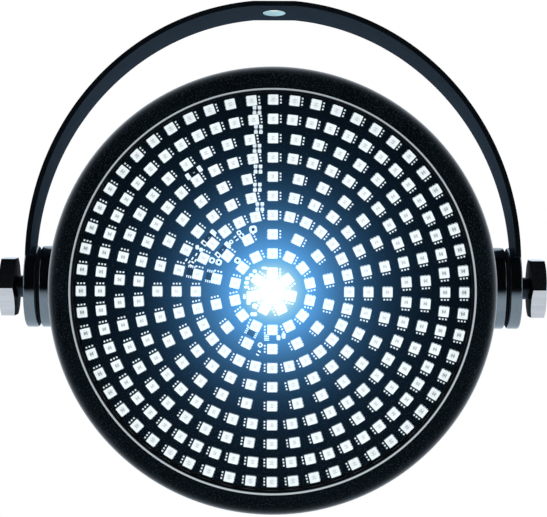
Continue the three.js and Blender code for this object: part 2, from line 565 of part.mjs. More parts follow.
// Rear shell: a deep round tray with a tongue into the bezel, six screw pillars, a pivot disc and an
// insert boss on each side, a ledge for the control panel, a recess for the sockets, and vents.
function shellSolid() {
  const r = SHELL_EDGE_RADIUS;
  const innerR = r - SHELL_WALL;
  const tongueOuter = SKIRT_INNER - SEAT_GAP;
  const tongueInner = tongueOuter - TONGUE_THICKNESS;
  const shellFront = SEAM + SEAT_GAP;
  const inside = SHELL_BACK_RADIUS - SHELL_WALL;
  const profile = [
    [SHELL_RADIUS, shellFront],
    ...arcPoints(BACK_FLAT_RADIUS, BACK - r, r, 0, 90, EDGE_STEPS),
    [0, BACK],
    [0, BACK_INSIDE],
    ...arcPoints(inside - innerR, BACK_INSIDE - innerR, innerR, 90, 0, EDGE_STEPS / 2),
    [inside, shellFront + TONGUE_ROOT],
    [tongueInner, shellFront + TONGUE_ROOT - TONGUE_THICKNESS],
    [tongueInner, shellFront - TONGUE_LENGTH],
    [tongueOuter, shellFront - TONGUE_LENGTH],
    [tongueOuter, shellFront],
  ];
  const outside = revolved([
    [0, PILLAR_FRONT],
    [tongueOuter, PILLAR_FRONT],
    [tongueOuter, shellFront],
    ...profile.slice(0, EDGE_STEPS + 2),
    [0, BACK],
  ], ROUND);
  const places = roundPlaces(CASE_SCREWS, SCREW_CIRCLE, CASE_SCREW_FIRST);
  const pillars = places.map(([x, z]) =>
    holeY(x, z, PILLAR_RADIUS, PILLAR_FRONT, BACK).intersect(outside));
  const pockets = places.flatMap(([x, z]) => [
    holeY(x, z, POCKET_RADIUS, HEAD_SEAT, BACK + OVERRUN, BUTTON_ROUND),
    holeY(x, z, SCREW_RADIUS + SCREW_CLEARANCE, PILLAR_FRONT - OVERRUN, HEAD_SEAT + OVERRUN),
  ]);

  const c = PIVOT_DISC_CHAMFER;
  const insertBoss = INSERT_RADIUS + INSERT_BOSS_WALL;
  const boss = revolvedX([
    [0, INSERT_START],
    [insertBoss, INSERT_START],
    [insertBoss, inside - c],
    [PIVOT_DISC_RADIUS, inside - c],
    [PIVOT_DISC_RADIUS, BOSS_FACE - c],
    [PIVOT_DISC_RADIUS - c, BOSS_FACE],
    [0, BOSS_FACE],
  ], BOSS_ROUND);
  const bore = joined(
    discX(INSERT_RADIUS + SEAT_GAP, INSERT_START - OVERRUN, INSERT_END, SOCKET_ROUND),
    discX(STUD_RADIUS + STUD_CLEARANCE, INSERT_END - OVERRUN, BOSS_FACE + OVERRUN, SOCKET_ROUND));

  const pads = [
    slab(roundedRectangle(0, PANEL_Z, PANEL_WIDTH + 2 * PAD_MARGIN, PANEL_HEIGHT + 2 * PAD_MARGIN,
      PANEL_CORNER), PANEL_PAD_INSIDE, BACK - EMBED),
    slab(roundedRectangle(0, RECESS_Z, RECESS_WIDTH + 2 * PAD_MARGIN, RECESS_HEIGHT + 2 * PAD_MARGIN,
      RECESS_CORNER + PAD_MARGIN), RECESS_INSIDE, BACK - EMBED),
  ];
  const posts = [
    ...driverPosts.map(([x, z]) => holeY(x, z, POST_RADIUS, DRIVER_BACK + SEAT_GAP, BACK - EMBED)),
    ...controlPosts.map(([x, z]) =>
      holeY(x, z, POST_RADIUS, CONTROL_BOARD_FACE + SEAT_GAP, PANEL_FLOOR - EMBED)),
    holeY(MICROPHONE_X, PANEL_Z, MICROPHONE_RADIUS + SEAT_GAP + MICROPHONE_CUP_WALL,
      BACK_INSIDE - MICROPHONE_CUP_DEPTH, BACK - EMBED, SOCKET_ROUND),
  ];
  const panelRoom = slab(
    roundedRectangle(0, PANEL_Z, PANEL_WIDTH + 2 * SEAT_GAP, PANEL_HEIGHT + 2 * SEAT_GAP, PANEL_CORNER),
    PANEL_FLOOR, BACK + OVERRUN);
  const panelWindow = block(0, PANEL_Z, PANEL_OPENING, PANEL_HEIGHT - 2 * PANEL_LAND,
    PANEL_PAD_INSIDE - OVERRUN, BACK);
  const recess = slab(roundedRectangle(0, RECESS_Z, RECESS_WIDTH, RECESS_HEIGHT, RECESS_CORNER),
    RECESS_FLOOR, BACK + OVERRUN);
  const signalHoles = signalPlaces.map((x) =>
    holeY(x, RECESS_Z, SIGNAL_BODY_RADIUS + SEAT_GAP, RECESS_INSIDE - OVERRUN, BACK, SOCKET_ROUND));
  const inletHole = block(INLET_X, RECESS_Z, INLET_BODY_WIDTH + 2 * SEAT_GAP,
    INLET_BODY_HEIGHT + 2 * SEAT_GAP, RECESS_INSIDE - OVERRUN, BACK);
  const screwHoles = [
    ...socketScrews.map(([x, z]) =>
      holeY(x, z, SCREW_RADIUS + SCREW_CLEARANCE, RECESS_INSIDE - OVERRUN, BACK)),
    ...driverPosts.map(([x, z]) => holeY(x, z, SCREW_RADIUS + SCREW_CLEARANCE,
      DRIVER_BACK - OVERRUN, DRIVER_FRONT + POST_SCREW_LENGTH + OVERRUN)),
    ...controlPosts.map(([x, z]) => holeY(x, z, SCREW_RADIUS + SCREW_CLEARANCE,
      CONTROL_BOARD_BACK, CONTROL_BOARD_BACK + POST_SCREW_LENGTH + OVERRUN)),
  ];
  const microphoneHoles = [
    holeY(MICROPHONE_X, PANEL_Z, MICROPHONE_RADIUS + SEAT_GAP,
      BACK_INSIDE - MICROPHONE_CUP_DEPTH - OVERRUN, BACK_INSIDE, SOCKET_ROUND),
    holeY(MICROPHONE_X, PANEL_Z, MICROPHONE_HOLE_RADIUS, BACK_INSIDE - OVERRUN, BACK + OVERRUN),
  ];
  const vents = Array.from({ length: VENT_SLOTS }, (_, i) => {
    const x = (i - (VENT_SLOTS - 1) / 2) * VENT_PITCH;
    const height = backChord(x, VENT_RIM) - VENT_BOTTOM;
    const slot = roundedRectangle(x, VENT_BOTTOM + height / 2, VENT_WIDTH, height, VENT_WIDTH / 2);
    return slab(slot, BACK_INSIDE - OVERRUN, BACK + OVERRUN);
  });
  const tray = joined(revolved(profile, ROUND), pillars, boss, boss.rotate([0, 0, 180]), pads, posts);
  return cut(tray, pockets, bore, bore.rotate([0, 0, 180]), panelRoom, panelWindow, recess,
    signalHoles, inletHole, screwHoles, microphoneHoles, vents);
}

// Signal socket: a square flange on a round body, with a cup. The one that takes a signal in has pins,
// and the one that passes it on has a sleeve with three holes and room for its latch.
function signalSocketSolid(x, hasPins) {
  const outline = roundedRectangle(0, 0, SIGNAL_FLANGE_WIDTH, SIGNAL_FLANGE_HEIGHT, SIGNAL_FLANGE_CORNER);
  const flange = slab(outline, FLANGE_BACK, FLANGE_FACE);
  const bodyFront = FLANGE_FACE - SIGNAL_DEPTH;
  const cupFloor = FLANGE_FACE - SIGNAL_CUP_DEPTH;
  const body = disc(SIGNAL_BODY_RADIUS, bodyFront, FLANGE_FACE - EMBED, SOCKET_ROUND);
  const cup = disc(SIGNAL_CUP_RADIUS, cupFloor, FLANGE_FACE + OVERRUN, SOCKET_ROUND);
  const pinPlaces = roundPlaces(PINS, PIN_CIRCLE, -90);
  const screwHoles = [-1, 1].map((side) =>
    holeY(side * SIGNAL_SCREW_X, -side * SIGNAL_SCREW_Z, SCREW_RADIUS + SCREW_CLEARANCE,
      FLANGE_BACK - OVERRUN, FLANGE_FACE + OVERRUN));
  const housing = cut(joined(flange, body), cup, screwHoles);
  if (hasPins) {
    const pins = pinPlaces.map(([px, pz]) =>
      holeY(px, pz, PIN_RADIUS, cupFloor - EMBED, FLANGE_FACE - PIN_RECESS));
    return joined(housing, pins).translate([x, 0, RECESS_Z]);
  }
  const sleeve = disc(SLEEVE_RADIUS, cupFloor - EMBED, FLANGE_FACE, SOCKET_ROUND);
  const holes = pinPlaces.map(([px, pz]) =>
    holeY(px, pz, PIN_RADIUS + PIN_CLEARANCE, cupFloor + PIN_HOLE_FLOOR, FLANGE_FACE + OVERRUN));
  const latchFloor = FLANGE_FACE - LATCH_LENGTH - LATCH_TRAVEL - SEAT_GAP;
  const latchRoom = block(0, SIGNAL_CUP_RADIUS + LATCH_HEIGHT / 2, LATCH_WIDTH + 2 * SEAT_GAP,
    LATCH_HEIGHT + 2 * SEAT_GAP, latchFloor, FLANGE_FACE + OVERRUN);
  return cut(joined(housing, sleeve), holes, latchRoom).translate([x, 0, RECESS_Z]);
}

// The latch that lets a plug go: a small tab above the sleeve, pushed into the socket.
function latchSolid(x) {
  const tab = block(0, SIGNAL_CUP_RADIUS + LATCH_HEIGHT / 2, LATCH_WIDTH, LATCH_HEIGHT,
    FLANGE_FACE - LATCH_LENGTH, FLANGE_FACE + LATCH_PROUD);
  const nose = disc(SIGNAL_CUP_RADIUS + SEAT_GAP, FLANGE_FACE - LATCH_LENGTH - OVERRUN,
    FLANGE_FACE + LATCH_PROUD + OVERRUN, SOCKET_ROUND);
  return cut(tab, nose).translate([x, 0, RECESS_Z]);
}

// Power inlet: a long flange on a box with two cut corners, and three blades in its cavity.
function inletSolid() {
  const flange = slab(roundedRectangle(0, 0, INLET_FLANGE_WIDTH, INLET_FLANGE_HEIGHT, INLET_FLANGE_CORNER),
    FLANGE_BACK, FLANGE_FACE);
  const bodyFront = FLANGE_FACE - INLET_DEPTH;
  const body = block(0, 0, INLET_BODY_WIDTH, INLET_BODY_HEIGHT, bodyFront, FLANGE_FACE - EMBED);
  const [w, h] = [INLET_CAVITY_WIDTH / 2, INLET_CAVITY_HEIGHT / 2];
  const outline = new THREE.Shape();
  outline.moveTo(-w, -h);
  outline.lineTo(w, -h);
  outline.lineTo(w, h - INLET_CORNER);
  outline.lineTo(w - INLET_CORNER, h);
  outline.lineTo(-w + INLET_CORNER, h);
  outline.lineTo(-w, h - INLET_CORNER);
  const floor = FLANGE_FACE - INLET_CAVITY_DEPTH;
  const cavity = slab(outline, floor, FLANGE_FACE + OVERRUN);
  const holes = [-1, 1].map((side) => holeY(side * INLET_SCREW_X, 0, SCREW_RADIUS + SCREW_CLEARANCE,
    FLANGE_BACK - OVERRUN, FLANGE_FACE + OVERRUN));
  const blades = [-1, 0, 1].map((side) =>
    block(side * BLADE_SPREAD, side ? -BLADE_RAISE : BLADE_RAISE, BLADE_WIDTH, BLADE_HEIGHT,
      floor - EMBED, FLANGE_FACE - BLADE_RECESS));
  const shell = cut(joined(flange, body), cavity, holes);
  return joined(shell, blades).translate([INLET_X, 0, RECESS_Z]);
}

// Control panel: a thin plate with the display's window and the buttons' holes.
function panelSolid() {
  const plate = slab(roundedRectangle(0, PANEL_Z, PANEL_WIDTH, PANEL_HEIGHT, PANEL_CORNER - SEAT_GAP),
    PANEL_FACE - PANEL_THICKNESS, PANEL_FACE);
  const window = block(DISPLAY_X, PANEL_Z, DISPLAY_WIDTH + 2 * SEAT_GAP, DISPLAY_HEIGHT + 2 * SEAT_GAP,
    PANEL_FACE - PANEL_THICKNESS - OVERRUN, PANEL_FACE + OVERRUN);
  const holes = buttonPlaces.map((x) => holeY(x, PANEL_Z, BUTTON_RADIUS + SEAT_GAP,
    PANEL_FACE - PANEL_THICKNESS - OVERRUN, PANEL_FACE + OVERRUN, SOCKET_ROUND));
  return cut(plate, window, holes);
}

// Button: a round cap with a flange behind the panel and a stem towards its switch.
function buttonSolid(x) {
  const flangeFace = PANEL_FACE - PANEL_THICKNESS - SEAT_GAP;
  const flangeBack = flangeFace - BUTTON_FLANGE_THICKNESS;
  const stemEnd = CONTROL_BOARD_FACE + SWITCH_HEIGHT + BUTTON_TRAVEL + SEAT_GAP;
  const round = BUTTON_RADIUS / 4;
  const profile = [
    [0, stemEnd],
    [BUTTON_STEM, stemEnd],
    [BUTTON_STEM, flangeBack],
    [BUTTON_FLANGE_RADIUS, flangeBack],
    [BUTTON_FLANGE_RADIUS, flangeFace],
    [BUTTON_RADIUS, flangeFace],
    [BUTTON_RADIUS, PANEL_FACE + BUTTON_PROUD - round],
    [BUTTON_RADIUS - round, PANEL_FACE + BUTTON_PROUD],
    [0, PANEL_FACE + BUTTON_PROUD],
  ];
  return revolved(profile, BUTTON_ROUND).translate([x, 0, PANEL_Z]);
}

// Control board, with the four push switches on its face.
function controlBoardSolid() {
  const board = block(0, PANEL_Z, CONTROL_BOARD_WIDTH, CONTROL_BOARD_HEIGHT,
    CONTROL_BOARD_BACK, CONTROL_BOARD_FACE);
  const switches = buttonPlaces.map((x) => block(x, PANEL_Z, SWITCH_SIZE, SWITCH_SIZE,
    CONTROL_BOARD_FACE - EMBED, CONTROL_BOARD_FACE + SWITCH_HEIGHT));
  const holes = controlPosts.map(([x, z]) => holeY(x, z, SCREW_RADIUS + SCREW_CLEARANCE,
    CONTROL_BOARD_BACK - OVERRUN, CONTROL_BOARD_FACE + OVERRUN));
  return cut(joined(board, switches), holes);
}

function driverBoardSolid() {
  const board = block(0, DRIVER_Z, DRIVER_WIDTH, DRIVER_HEIGHT, DRIVER_FRONT, DRIVER_BACK);
  const holes = driverPosts.map(([x, z]) => holeY(x, z, SCREW_RADIUS + SCREW_CLEARANCE,
    DRIVER_FRONT - OVERRUN, DRIVER_BACK + OVERRUN));
  return cut(board, holes);
}

// Heat sink: a flat foot with fins standing towards the front.
function heatsinkSolid() {
  const { widthShare, height, depth, fin, fins, root } = HEATSINK;
  const width = DRIVER_WIDTH * widthShare;
  const face = DRIVER_FRONT - SEAT_GAP;
  const foot = block(0, HEATSINK_Z, width, height, face - root, face);
  const pitch = (width - fin) / (fins - 1);
  const first = (fin - width) / 2;
  const blades = Array.from({ length: fins }, (_, i) =>
    block(first + i * pitch, HEATSINK_Z, fin, height, face - depth, face - root + EMBED));
  return joined(foot, blades);
}

// Hand knob: a thick hexagonal nut with a blind hole for its stud and a shallow dish outside.
function knobSolid() {
  const corner = KNOB_FLATS / 2 / Math.cos(Math.PI / KNOB_SIDES);
  const outer = KNOB_FACE + KNOB_THICKNESS;
  const c = KNOB_CHAMFER;
  const hexagon = revolvedX([
    [0, KNOB_FACE],
    [corner - c, KNOB_FACE],
    [corner, KNOB_FACE + c],
    [corner, outer - c],
    [corner - c, outer],
    [0, outer],
  ], KNOB_SIDES);
  const bore = discX(STUD_RADIUS + STUD_CLEARANCE, KNOB_FACE - OVERRUN,
    KNOB_FACE + STUD_IN_KNOB + SEAT_GAP, SOCKET_ROUND);
  const dish = discX(KNOB_DISH_RADIUS, outer - KNOB_DISH_DEPTH, outer + OVERRUN, SOCKET_ROUND);
  return cut(hexagon, bore, dish);
}

// Yoke and knobs. The lathe puts a knob's corner straight up; this turn brings one to the front.
add(yokeGroup, "yoke", yokeSolid(), materials.yoke);
const cornerToFront = Math.PI / KNOB_SIDES;
const studBore = STUD_RADIUS + STUD_CLEARANCE;
const frictionDisc = ringX(studBore, PIVOT_DISC_RADIUS - FRICTION_SET_IN, BOSS_FACE + SEAT_GAP,
  BOSS_FACE + SEAT_GAP + FRICTION_THICKNESS, SOCKET_ROUND);
const washer = ringX(studBore, WASHER_RADIUS, WASHER_FACE, WASHER_FACE + WASHER_THICKNESS, BUTTON_ROUND);
const collar = ringX(studBore, COLLAR_RADIUS, COLLAR_FACE, COLLAR_FACE + COLLAR_LENGTH, BUTTON_ROUND);
const stud = discX(STUD_RADIUS, INSERT_END - STUD_IN_INSERT, KNOB_FACE + STUD_IN_KNOB, BUTTON_ROUND);
const insert = revolvedX([
  [studBore, INSERT_START - INSERT_FLANGE_THICKNESS - SEAT_GAP],
  [INSERT_FLANGE_RADIUS, INSERT_START - INSERT_FLANGE_THICKNESS - SEAT_GAP],
  [INSERT_FLANGE_RADIUS, INSERT_START - SEAT_GAP],
  [INSERT_RADIUS, INSERT_START - SEAT_GAP],
  [INSERT_RADIUS, INSERT_END - SEAT_GAP],
  [studBore, INSERT_END - SEAT_GAP],
], BUTTON_ROUND);

// The left side is the right side turned half round, but its knob's low corner stays in front.
for (const [side, turn, lean] of [["right", 0, KNOB_TURN], ["left", Math.PI, -KNOB_TURN]]) {
  const outside = new THREE.Group();
  const inside = new THREE.Group();
  outside.rotation.z = turn;
  inside.rotation.z = turn;
  yokeGroup.add(outside);
  headGroup.add(inside);
  add(outside, `friction_disc_${side}`, frictionDisc, materials.rubber);
  add(outside, `washer_${side}`, washer, materials.steel);
  add(outside, `knob_collar_${side}`, collar, materials.plastic);
  add(outside, `knob_${side}`, knobSolid(), materials.chrome).rotation.x = cornerToFront + lean;
  add(outside, `knob_stud_${side}`, stud, materials.steel);
  add(inside, `pivot_insert_${side}`, insert, materials.brass);
}

// Housing, lens and light-emitting board
const lens = disc(LENS_RADIUS, LENS_FRONT, LENS_BACK, ROUND);
const gasket = ring(BOARD_RADIUS - GASKET_WIDTH, BOARD_RADIUS, LENS_BACK + SEAT_GAP,
  BOARD_FRONT - SEAT_GAP, ROUND);
add(headGroup, "front_bezel", bezelSolid(), materials.housing);
add(headGroup, "front_lens", lens, materials.clear);
add(headGroup, "lens_gasket", gasket, materials.rubber);
add(headGroup, "led_board", ledBoardSolid(), materials.packages);
add(headGroup, "board_retainer", retainerSolid(), materials.steel);
add(headGroup, "rear_shell", shellSolid(), materials.housing);
roundPlaces(CASE_SCREWS, SCREW_CIRCLE, CASE_SCREW_FIRST).forEach(([x, z], i) => {
  const screw = screwSolid(x, z, HEAD_SEAT + SEAT_GAP, CASE_SCREW_LENGTH);
  add(headGroup, `case_screw_${i + 1}`, screw, materials.steel);
});

// Control panel
const displayWindow = block(DISPLAY_X, PANEL_Z, DISPLAY_WIDTH, DISPLAY_HEIGHT,
  PANEL_FACE - WINDOW_THICKNESS, PANEL_FACE);
const displayModule = block(DISPLAY_X, PANEL_Z, DISPLAY_MODULE_WIDTH,
  DISPLAY_HEIGHT - WINDOW_LIP, CONTROL_BOARD_FACE + SEAT_GAP, DISPLAY_FRONT);
const microphoneBack = BACK_INSIDE - SEAT_GAP;
add(headGroup, "control_panel", panelSolid(), materials.panel);
add(headGroup, "display_window", displayWindow, materials.display);
add(headGroup, "display_module", displayModule, materials.plastic);
add(headGroup, "control_board", controlBoardSolid(), materials.board);
BUTTON_NAMES.forEach((name, i) =>
  add(headGroup, `button_${name}`, buttonSolid(buttonPlaces[i]), materials.button));
add(headGroup, "microphone", holeY(MICROPHONE_X, PANEL_Z, MICROPHONE_RADIUS,
  microphoneBack - MICROPHONE_LENGTH, microphoneBack, SOCKET_ROUND), materials.aluminium);

// Sockets and their screws
add(headGroup, "signal_in_socket", signalSocketSolid(signalPlaces[0], true), materials.plastic);
add(headGroup, "signal_out_socket", signalSocketSolid(signalPlaces[1], false), materials.plastic);
add(headGroup, "signal_out_latch", latchSolid(signalPlaces[1]), materials.button);
add(headGroup, "power_inlet", inletSolid(), materials.plastic);
socketScrews.forEach(([x, z], i) => {
  const screw = screwSolid(x, z, FLANGE_FACE + SEAT_GAP, SOCKET_SCREW_LENGTH);
  add(headGroup, `socket_screw_${i + 1}`, screw, materials.steel);
});

// Boards inside. Their screws go in from the front, so each is a screw turned round.
function addInnerScrew(name, x, z, seat) {
  const mesh = add(headGroup, name, screwSolid(0, 0, 0, POST_SCREW_LENGTH), materials.steel);
  mesh.rotation.x = Math.PI;
  mesh.position.set(x, seat - SEAT_GAP, z);
}
driverPosts.forEach(([x, z], i) => addInnerScrew(`driver_screw_${i + 1}`, x, z, DRIVER_FRONT));
controlPosts.forEach(([x, z], i) => addInnerScrew(`control_screw_${i + 1}`, x, z, CONTROL_BOARD_BACK));

// What stands on the driver board
const onDriver = DRIVER_FRONT - SEAT_GAP;
const transformer = block(TRANSFORMER_X, DRIVER_ROW_Z, TRANSFORMER.width, TRANSFORMER.height,
  onDriver - TRANSFORMER.depth, onDriver);
const capacitor = disc(CAPACITOR.radius, onDriver - CAPACITOR.length, onDriver, SOCKET_ROUND);
const choke = ring(CHOKE.hole, CHOKE.radius, onDriver - CHOKE.length, onDriver, SOCKET_ROUND);
add(headGroup, "driver_board", driverBoardSolid(), materials.board);
add(headGroup, "transformer", transformer, materials.copper);
add(headGroup, "driver_heatsink", heatsinkSolid(), materials.aluminium);
[1, 2].forEach((number) => {
  const mesh = add(headGroup, `capacitor_${number}`, capacitor, materials.capacitor);
  mesh.position.set(CAPACITOR_X + (number - 1) * CAPACITOR.pitch, 0, DRIVER_ROW_Z);
});
add(headGroup, "mains_choke", choke, materials.copper).position.set(CHOKE_X, 0, DRIVER_ROW_Z);

export default part;
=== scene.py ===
import json
import math
import random

import bmesh
import bpy
from mathutils import Matrix, Vector


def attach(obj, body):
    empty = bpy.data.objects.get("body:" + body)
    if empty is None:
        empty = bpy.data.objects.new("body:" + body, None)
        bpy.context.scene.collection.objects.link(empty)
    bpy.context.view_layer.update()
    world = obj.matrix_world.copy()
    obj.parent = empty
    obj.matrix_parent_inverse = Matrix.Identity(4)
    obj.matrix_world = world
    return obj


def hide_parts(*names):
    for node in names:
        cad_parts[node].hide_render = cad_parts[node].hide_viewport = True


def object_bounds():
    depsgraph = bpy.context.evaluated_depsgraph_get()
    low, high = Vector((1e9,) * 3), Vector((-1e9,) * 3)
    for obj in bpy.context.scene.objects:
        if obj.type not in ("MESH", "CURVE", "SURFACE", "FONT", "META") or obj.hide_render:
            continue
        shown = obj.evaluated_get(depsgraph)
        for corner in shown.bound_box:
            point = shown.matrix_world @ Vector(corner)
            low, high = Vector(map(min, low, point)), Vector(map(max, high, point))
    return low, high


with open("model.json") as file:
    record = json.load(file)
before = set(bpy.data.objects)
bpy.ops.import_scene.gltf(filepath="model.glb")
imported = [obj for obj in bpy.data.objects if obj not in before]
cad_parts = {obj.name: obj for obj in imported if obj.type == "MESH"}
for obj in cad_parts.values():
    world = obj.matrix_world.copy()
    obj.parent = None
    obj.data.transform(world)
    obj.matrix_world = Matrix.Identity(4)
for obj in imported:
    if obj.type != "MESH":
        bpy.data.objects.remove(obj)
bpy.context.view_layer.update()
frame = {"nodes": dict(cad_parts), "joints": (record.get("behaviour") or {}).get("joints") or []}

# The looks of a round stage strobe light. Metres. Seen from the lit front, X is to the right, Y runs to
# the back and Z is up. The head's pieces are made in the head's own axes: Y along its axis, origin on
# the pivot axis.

# Frame of the yoke, with its origin on the pivot axis, and frame of the head, which leans down
joints = {joint["name"]: joint for joint in frame["joints"]}
PIVOT = Vector(joints["head_tilt"]["pos_m"])
PRESS = joints["menu_button_press"]["axis"]
YOKE = Matrix.Translation(PIVOT)
HEAD = YOKE @ Matrix.Rotation(math.atan2(-PRESS[2], -PRESS[1]), 4, "X")

# From a body made about Y to each end of the pivot axis
TO_SIDE = {"right": Matrix.Rotation(math.radians(-90), 4, "Z"),
           "left": Matrix.Rotation(math.radians(90), 4, "Z")}


def corners_of(node_name, place=HEAD):
    """The points of a CAD node in the axes of the yoke or the head."""
    inverse = place.inverted()
    return [inverse @ vertex.co for vertex in frame["nodes"][node_name].data.vertices]


def span(node_name, place=HEAD):
    """Lowest and highest corner of a CAD node."""
    points = corners_of(node_name, place)
    return [Vector([pick(p[i] for p in points) for i in range(3)]) for pick in (min, max)]


def seen(node_name):
    """Middle (x, z), width and height of a CAD node, seen along the head's axis."""
    low, high = span(node_name)
    return (low.x + high.x) / 2, (low.z + high.z) / 2, high.x - low.x, high.z - low.z


def sideways(node_name):
    """Inner and outer distance from the middle plane, and the radius, of a piece on the pivot axis."""
    low, high = span(node_name, YOKE)
    near, far = sorted((abs(low.x), abs(high.x)))
    return near, far, high.z


# Smoothness
ROUND = 192  # facets of the head's rings
LARGE = 96  # facets of the pivot discs and of the knobs' turned ends
MEDIUM = 64  # facets of thin discs, buttons and sockets
SMALL = 32  # facets of screws and pins
SHARP = math.radians(35)  # edges sharper than this stay crisp
TINY = 1e-6
OVERRUN = 0.001  # how far a cut runs past what it cuts
CLEARANCE = 0.0003  # between two pieces
EMBED = 0.0004  # how far a joined body reaches into its neighbour, or stays under its face
SOFT = 0.0004  # rounding of turned edges
FINE_SOFT = 0.0003

# The lit field
RING_PITCH = 0.009
PACKAGES_IN_RING = [7, 14, 14, 28, 28, 28, 42, 42, 56, 56]
PACKAGE_SIZE = 0.005
PACKAGE_CORNER = 0.0003
PACKAGE_EDGE = 0.0002
WELL_RADIUS = 0.00195
WELL_FLOOR_RADIUS = 0.0017
WELL_DEPTH = 0.0005
DIE_BAR_WIDTH = 0.00035
DIE_BAR_HEIGHTS = {-1: 0.0016, 0: 0.00096, 1: 0.0016}
DIE_BAR_PITCH = 0.0006
DIE_THICKNESS = 0.0001
LEAD_OUT = 0.00015  # how far a lead stands out of the package
LEAD_WIDTH = 0.0009
LEAD_PITCH = 0.00146
LEAD_ROOT = 0.0004
LEAD_HEIGHT = 0.0005
PAD_MIDDLE = 0.00355  # from the package's middle to the row of bare pads beside it
PAD_LENGTH = 0.00082
PAD_HEIGHT = 0.00012
PAD_CORNER = 0.0002
BOARD_THICKNESS = 0.0016
BOARD_EDGE = 0.0002

# Bezel
FIELD_MARGIN = 0.0008
WINDOW_RADIUS = len(PACKAGES_IN_RING) * RING_PITCH + PACKAGE_SIZE / 2 + FIELD_MARGIN
BEZEL_WALL = 0.003
BEZEL_EDGE_RADIUS = 0.006
WINDOW_CHAMFER = 0.0019
RIB_THICKNESS = 0.0015
BOSS_RADIUS = 0.004
bezel_low, bezel_high = span("front_bezel")
FRONT = bezel_low.y
SEAM = bezel_high.y
HEAD_RADIUS = bezel_high.x
LIP_BACK = FRONT + BEZEL_WALL

# Rear shell
SHELL_STEP = 0.0011
SHELL_DRAFT = 0.001
SHELL_WALL = 0.0026
SHELL_EDGE_RADIUS = 0.010
SHELL_SLOPE = (0.004, 0.002)  # from its front to where the wall thickens to the tongue, and to its end
TONGUE_LENGTH = 0.003
TONGUE_THICKNESS = 0.002
POCKET_RADIUS = 0.0031
PILLAR_WALL = 0.0013
PILLAR_END = 0.0035  # from the back
SCREW_RADIUS = 0.0015
SCREW_HEAD_RADIUS = 0.0028
SCREW_HEAD_HEIGHT = 0.002
SCREW_HOLE_RADIUS = 0.0018
CASE_SCREWS = 6
CASE_SCREW_FIRST = 30  # degrees above the right-hand side
SOCKET_SCREWS = 6
PIVOT_DISC_CHAMFER = 0.0006
INSERT_BOSS_RADIUS = 0.0085
BOSS_SOFT = 0.0006
INSERT_BORE_RADIUS = 0.0053
INSERT_FLANGE = 0.0015
STUD_BORE_RADIUS = 0.0033
STUD_BORE_DEPTH = 0.006
VENT_SLOTS = 9
VENT_PITCH = 0.009
VENT_WIDTH = 0.0028
VENT_BOTTOM = 0.036
VENT_RIM = 0.012
PANEL_CORNER = 0.004
PANEL_LAND = 0.005
PANEL_END_LAND = 0.009
PANEL_CUT = 0.004
RECESS_DEPTH = 0.003
RECESS_MARGIN = 0.0025
RECESS_CORNER = 0.005
LEDGE = 0.003  # round the panel's and the sockets' recess
LEDGE_DEPTH = 0.002
SOCKET_CUT = 0.01
MICROPHONE_CUT = 0.004
MICROPHONE_HOLE_RADIUS = 0.0012

# Sockets
SIGNAL_CUP_RADIUS = 0.0081
SIGNAL_CUP_DEPTH = 0.014
SIGNAL_BODY_RADIUS = SIGNAL_CUP_RADIUS + 0.0039
SIGNAL_FLANGE_CORNER = 0.004
SIGNAL_SCREW_EDGE = 0.0035
SOCKET_FLANGE = 0.002
PINS = 3
PIN_CIRCLE = 0.004
PIN_RADIUS = 0.0012
PIN_RECESS = 0.002
PIN_TIP = 0.0008
PIN_CLEARANCE = 0.00015
PIN_HOLE_FLOOR = 0.002
PIN_TUBE_WALL = 0.0002
PIN_TUBE_FLOOR = 0.0021
PIN_TUBE_RECESS = 0.0015
SLEEVE_GAP = 0.0019
LATCH_HEIGHT = 0.0024
LATCH_ROOM = 0.0013  # behind the latch, for its travel
INLET_CAVITY_WIDTH = 0.0244
INLET_CAVITY_HEIGHT = 0.0164
INLET_CAVITY_DEPTH = 0.016
INLET_WALL = 0.0018
INLET_CUT_CORNER = 0.004
INLET_FLANGE_CORNER = 0.002
BLADE_WIDTH = 0.002
BLADE_HEIGHT = 0.004
BLADE_CORNER = 0.0004
BLADE_SPREAD = 0.007
BLADE_RAISE = 0.002
BLADE_RECESS = 0.0025

# Yoke and knobs
YOKE_FLAT = 0.020
YOKE_THICKNESS = 0.0025
YOKE_LEG = 0.0128  # from the pivot axis to the start of the bend
YOKE_HOLE_RADIUS = 0.0055
YOKE_STEPS = 160  # facets of its bend
RIM_FACING = 0.6  # cosine from which a face of its discs counts as their rim
HOLE_FACING = 0.5  # cosine up to which a face counts as the bolt hole's wall
KNOB_SIDES = 6
KNOB_CHAMFER = 0.0003
KNOB_DISH_RADIUS = 0.009
KNOB_DISH_DEPTH = 0.0008


# Shapes: points and faces
def lathe(profile, segments):
    """A profile of (radius, along) pairs turned about Y. It starts and ends on the axis or is a ring."""
    points, rings = [], []
    for radius, along in profile:
        if radius < TINY:
            rings.append([len(points)] * segments)
            points.append((0, along, 0))
        else:
            rings.append(range(len(points), len(points) + segments))
            points += [(radius * math.cos(math.tau * i / segments), along,
                        radius * math.sin(math.tau * i / segments)) for i in range(segments)]
    closed = profile[0][0] > TINY
    faces = []
    for low, high in zip(rings, rings[1:] + rings[:1] if closed else rings[1:]):
        for i in range(segments):
            j = (i + 1) % segments
            corners = dict.fromkeys((low[i], low[j], high[j], high[i]))
            if len(corners) > 2:
                faces.append(tuple(corners))
    return points, faces


def ring(inner, outer, low, high):
    """The profile of a plain ring, or of a plain disc where its inner radius is zero."""
    return [(inner, low), (outer, low), (outer, high), (inner, high)]


def prism_faces(count):
    sides = [(i, (i + 1) % count, count + (i + 1) % count, count + i) for i in range(count)]
    return [tuple(range(count)), tuple(range(count, 2 * count))] + sides


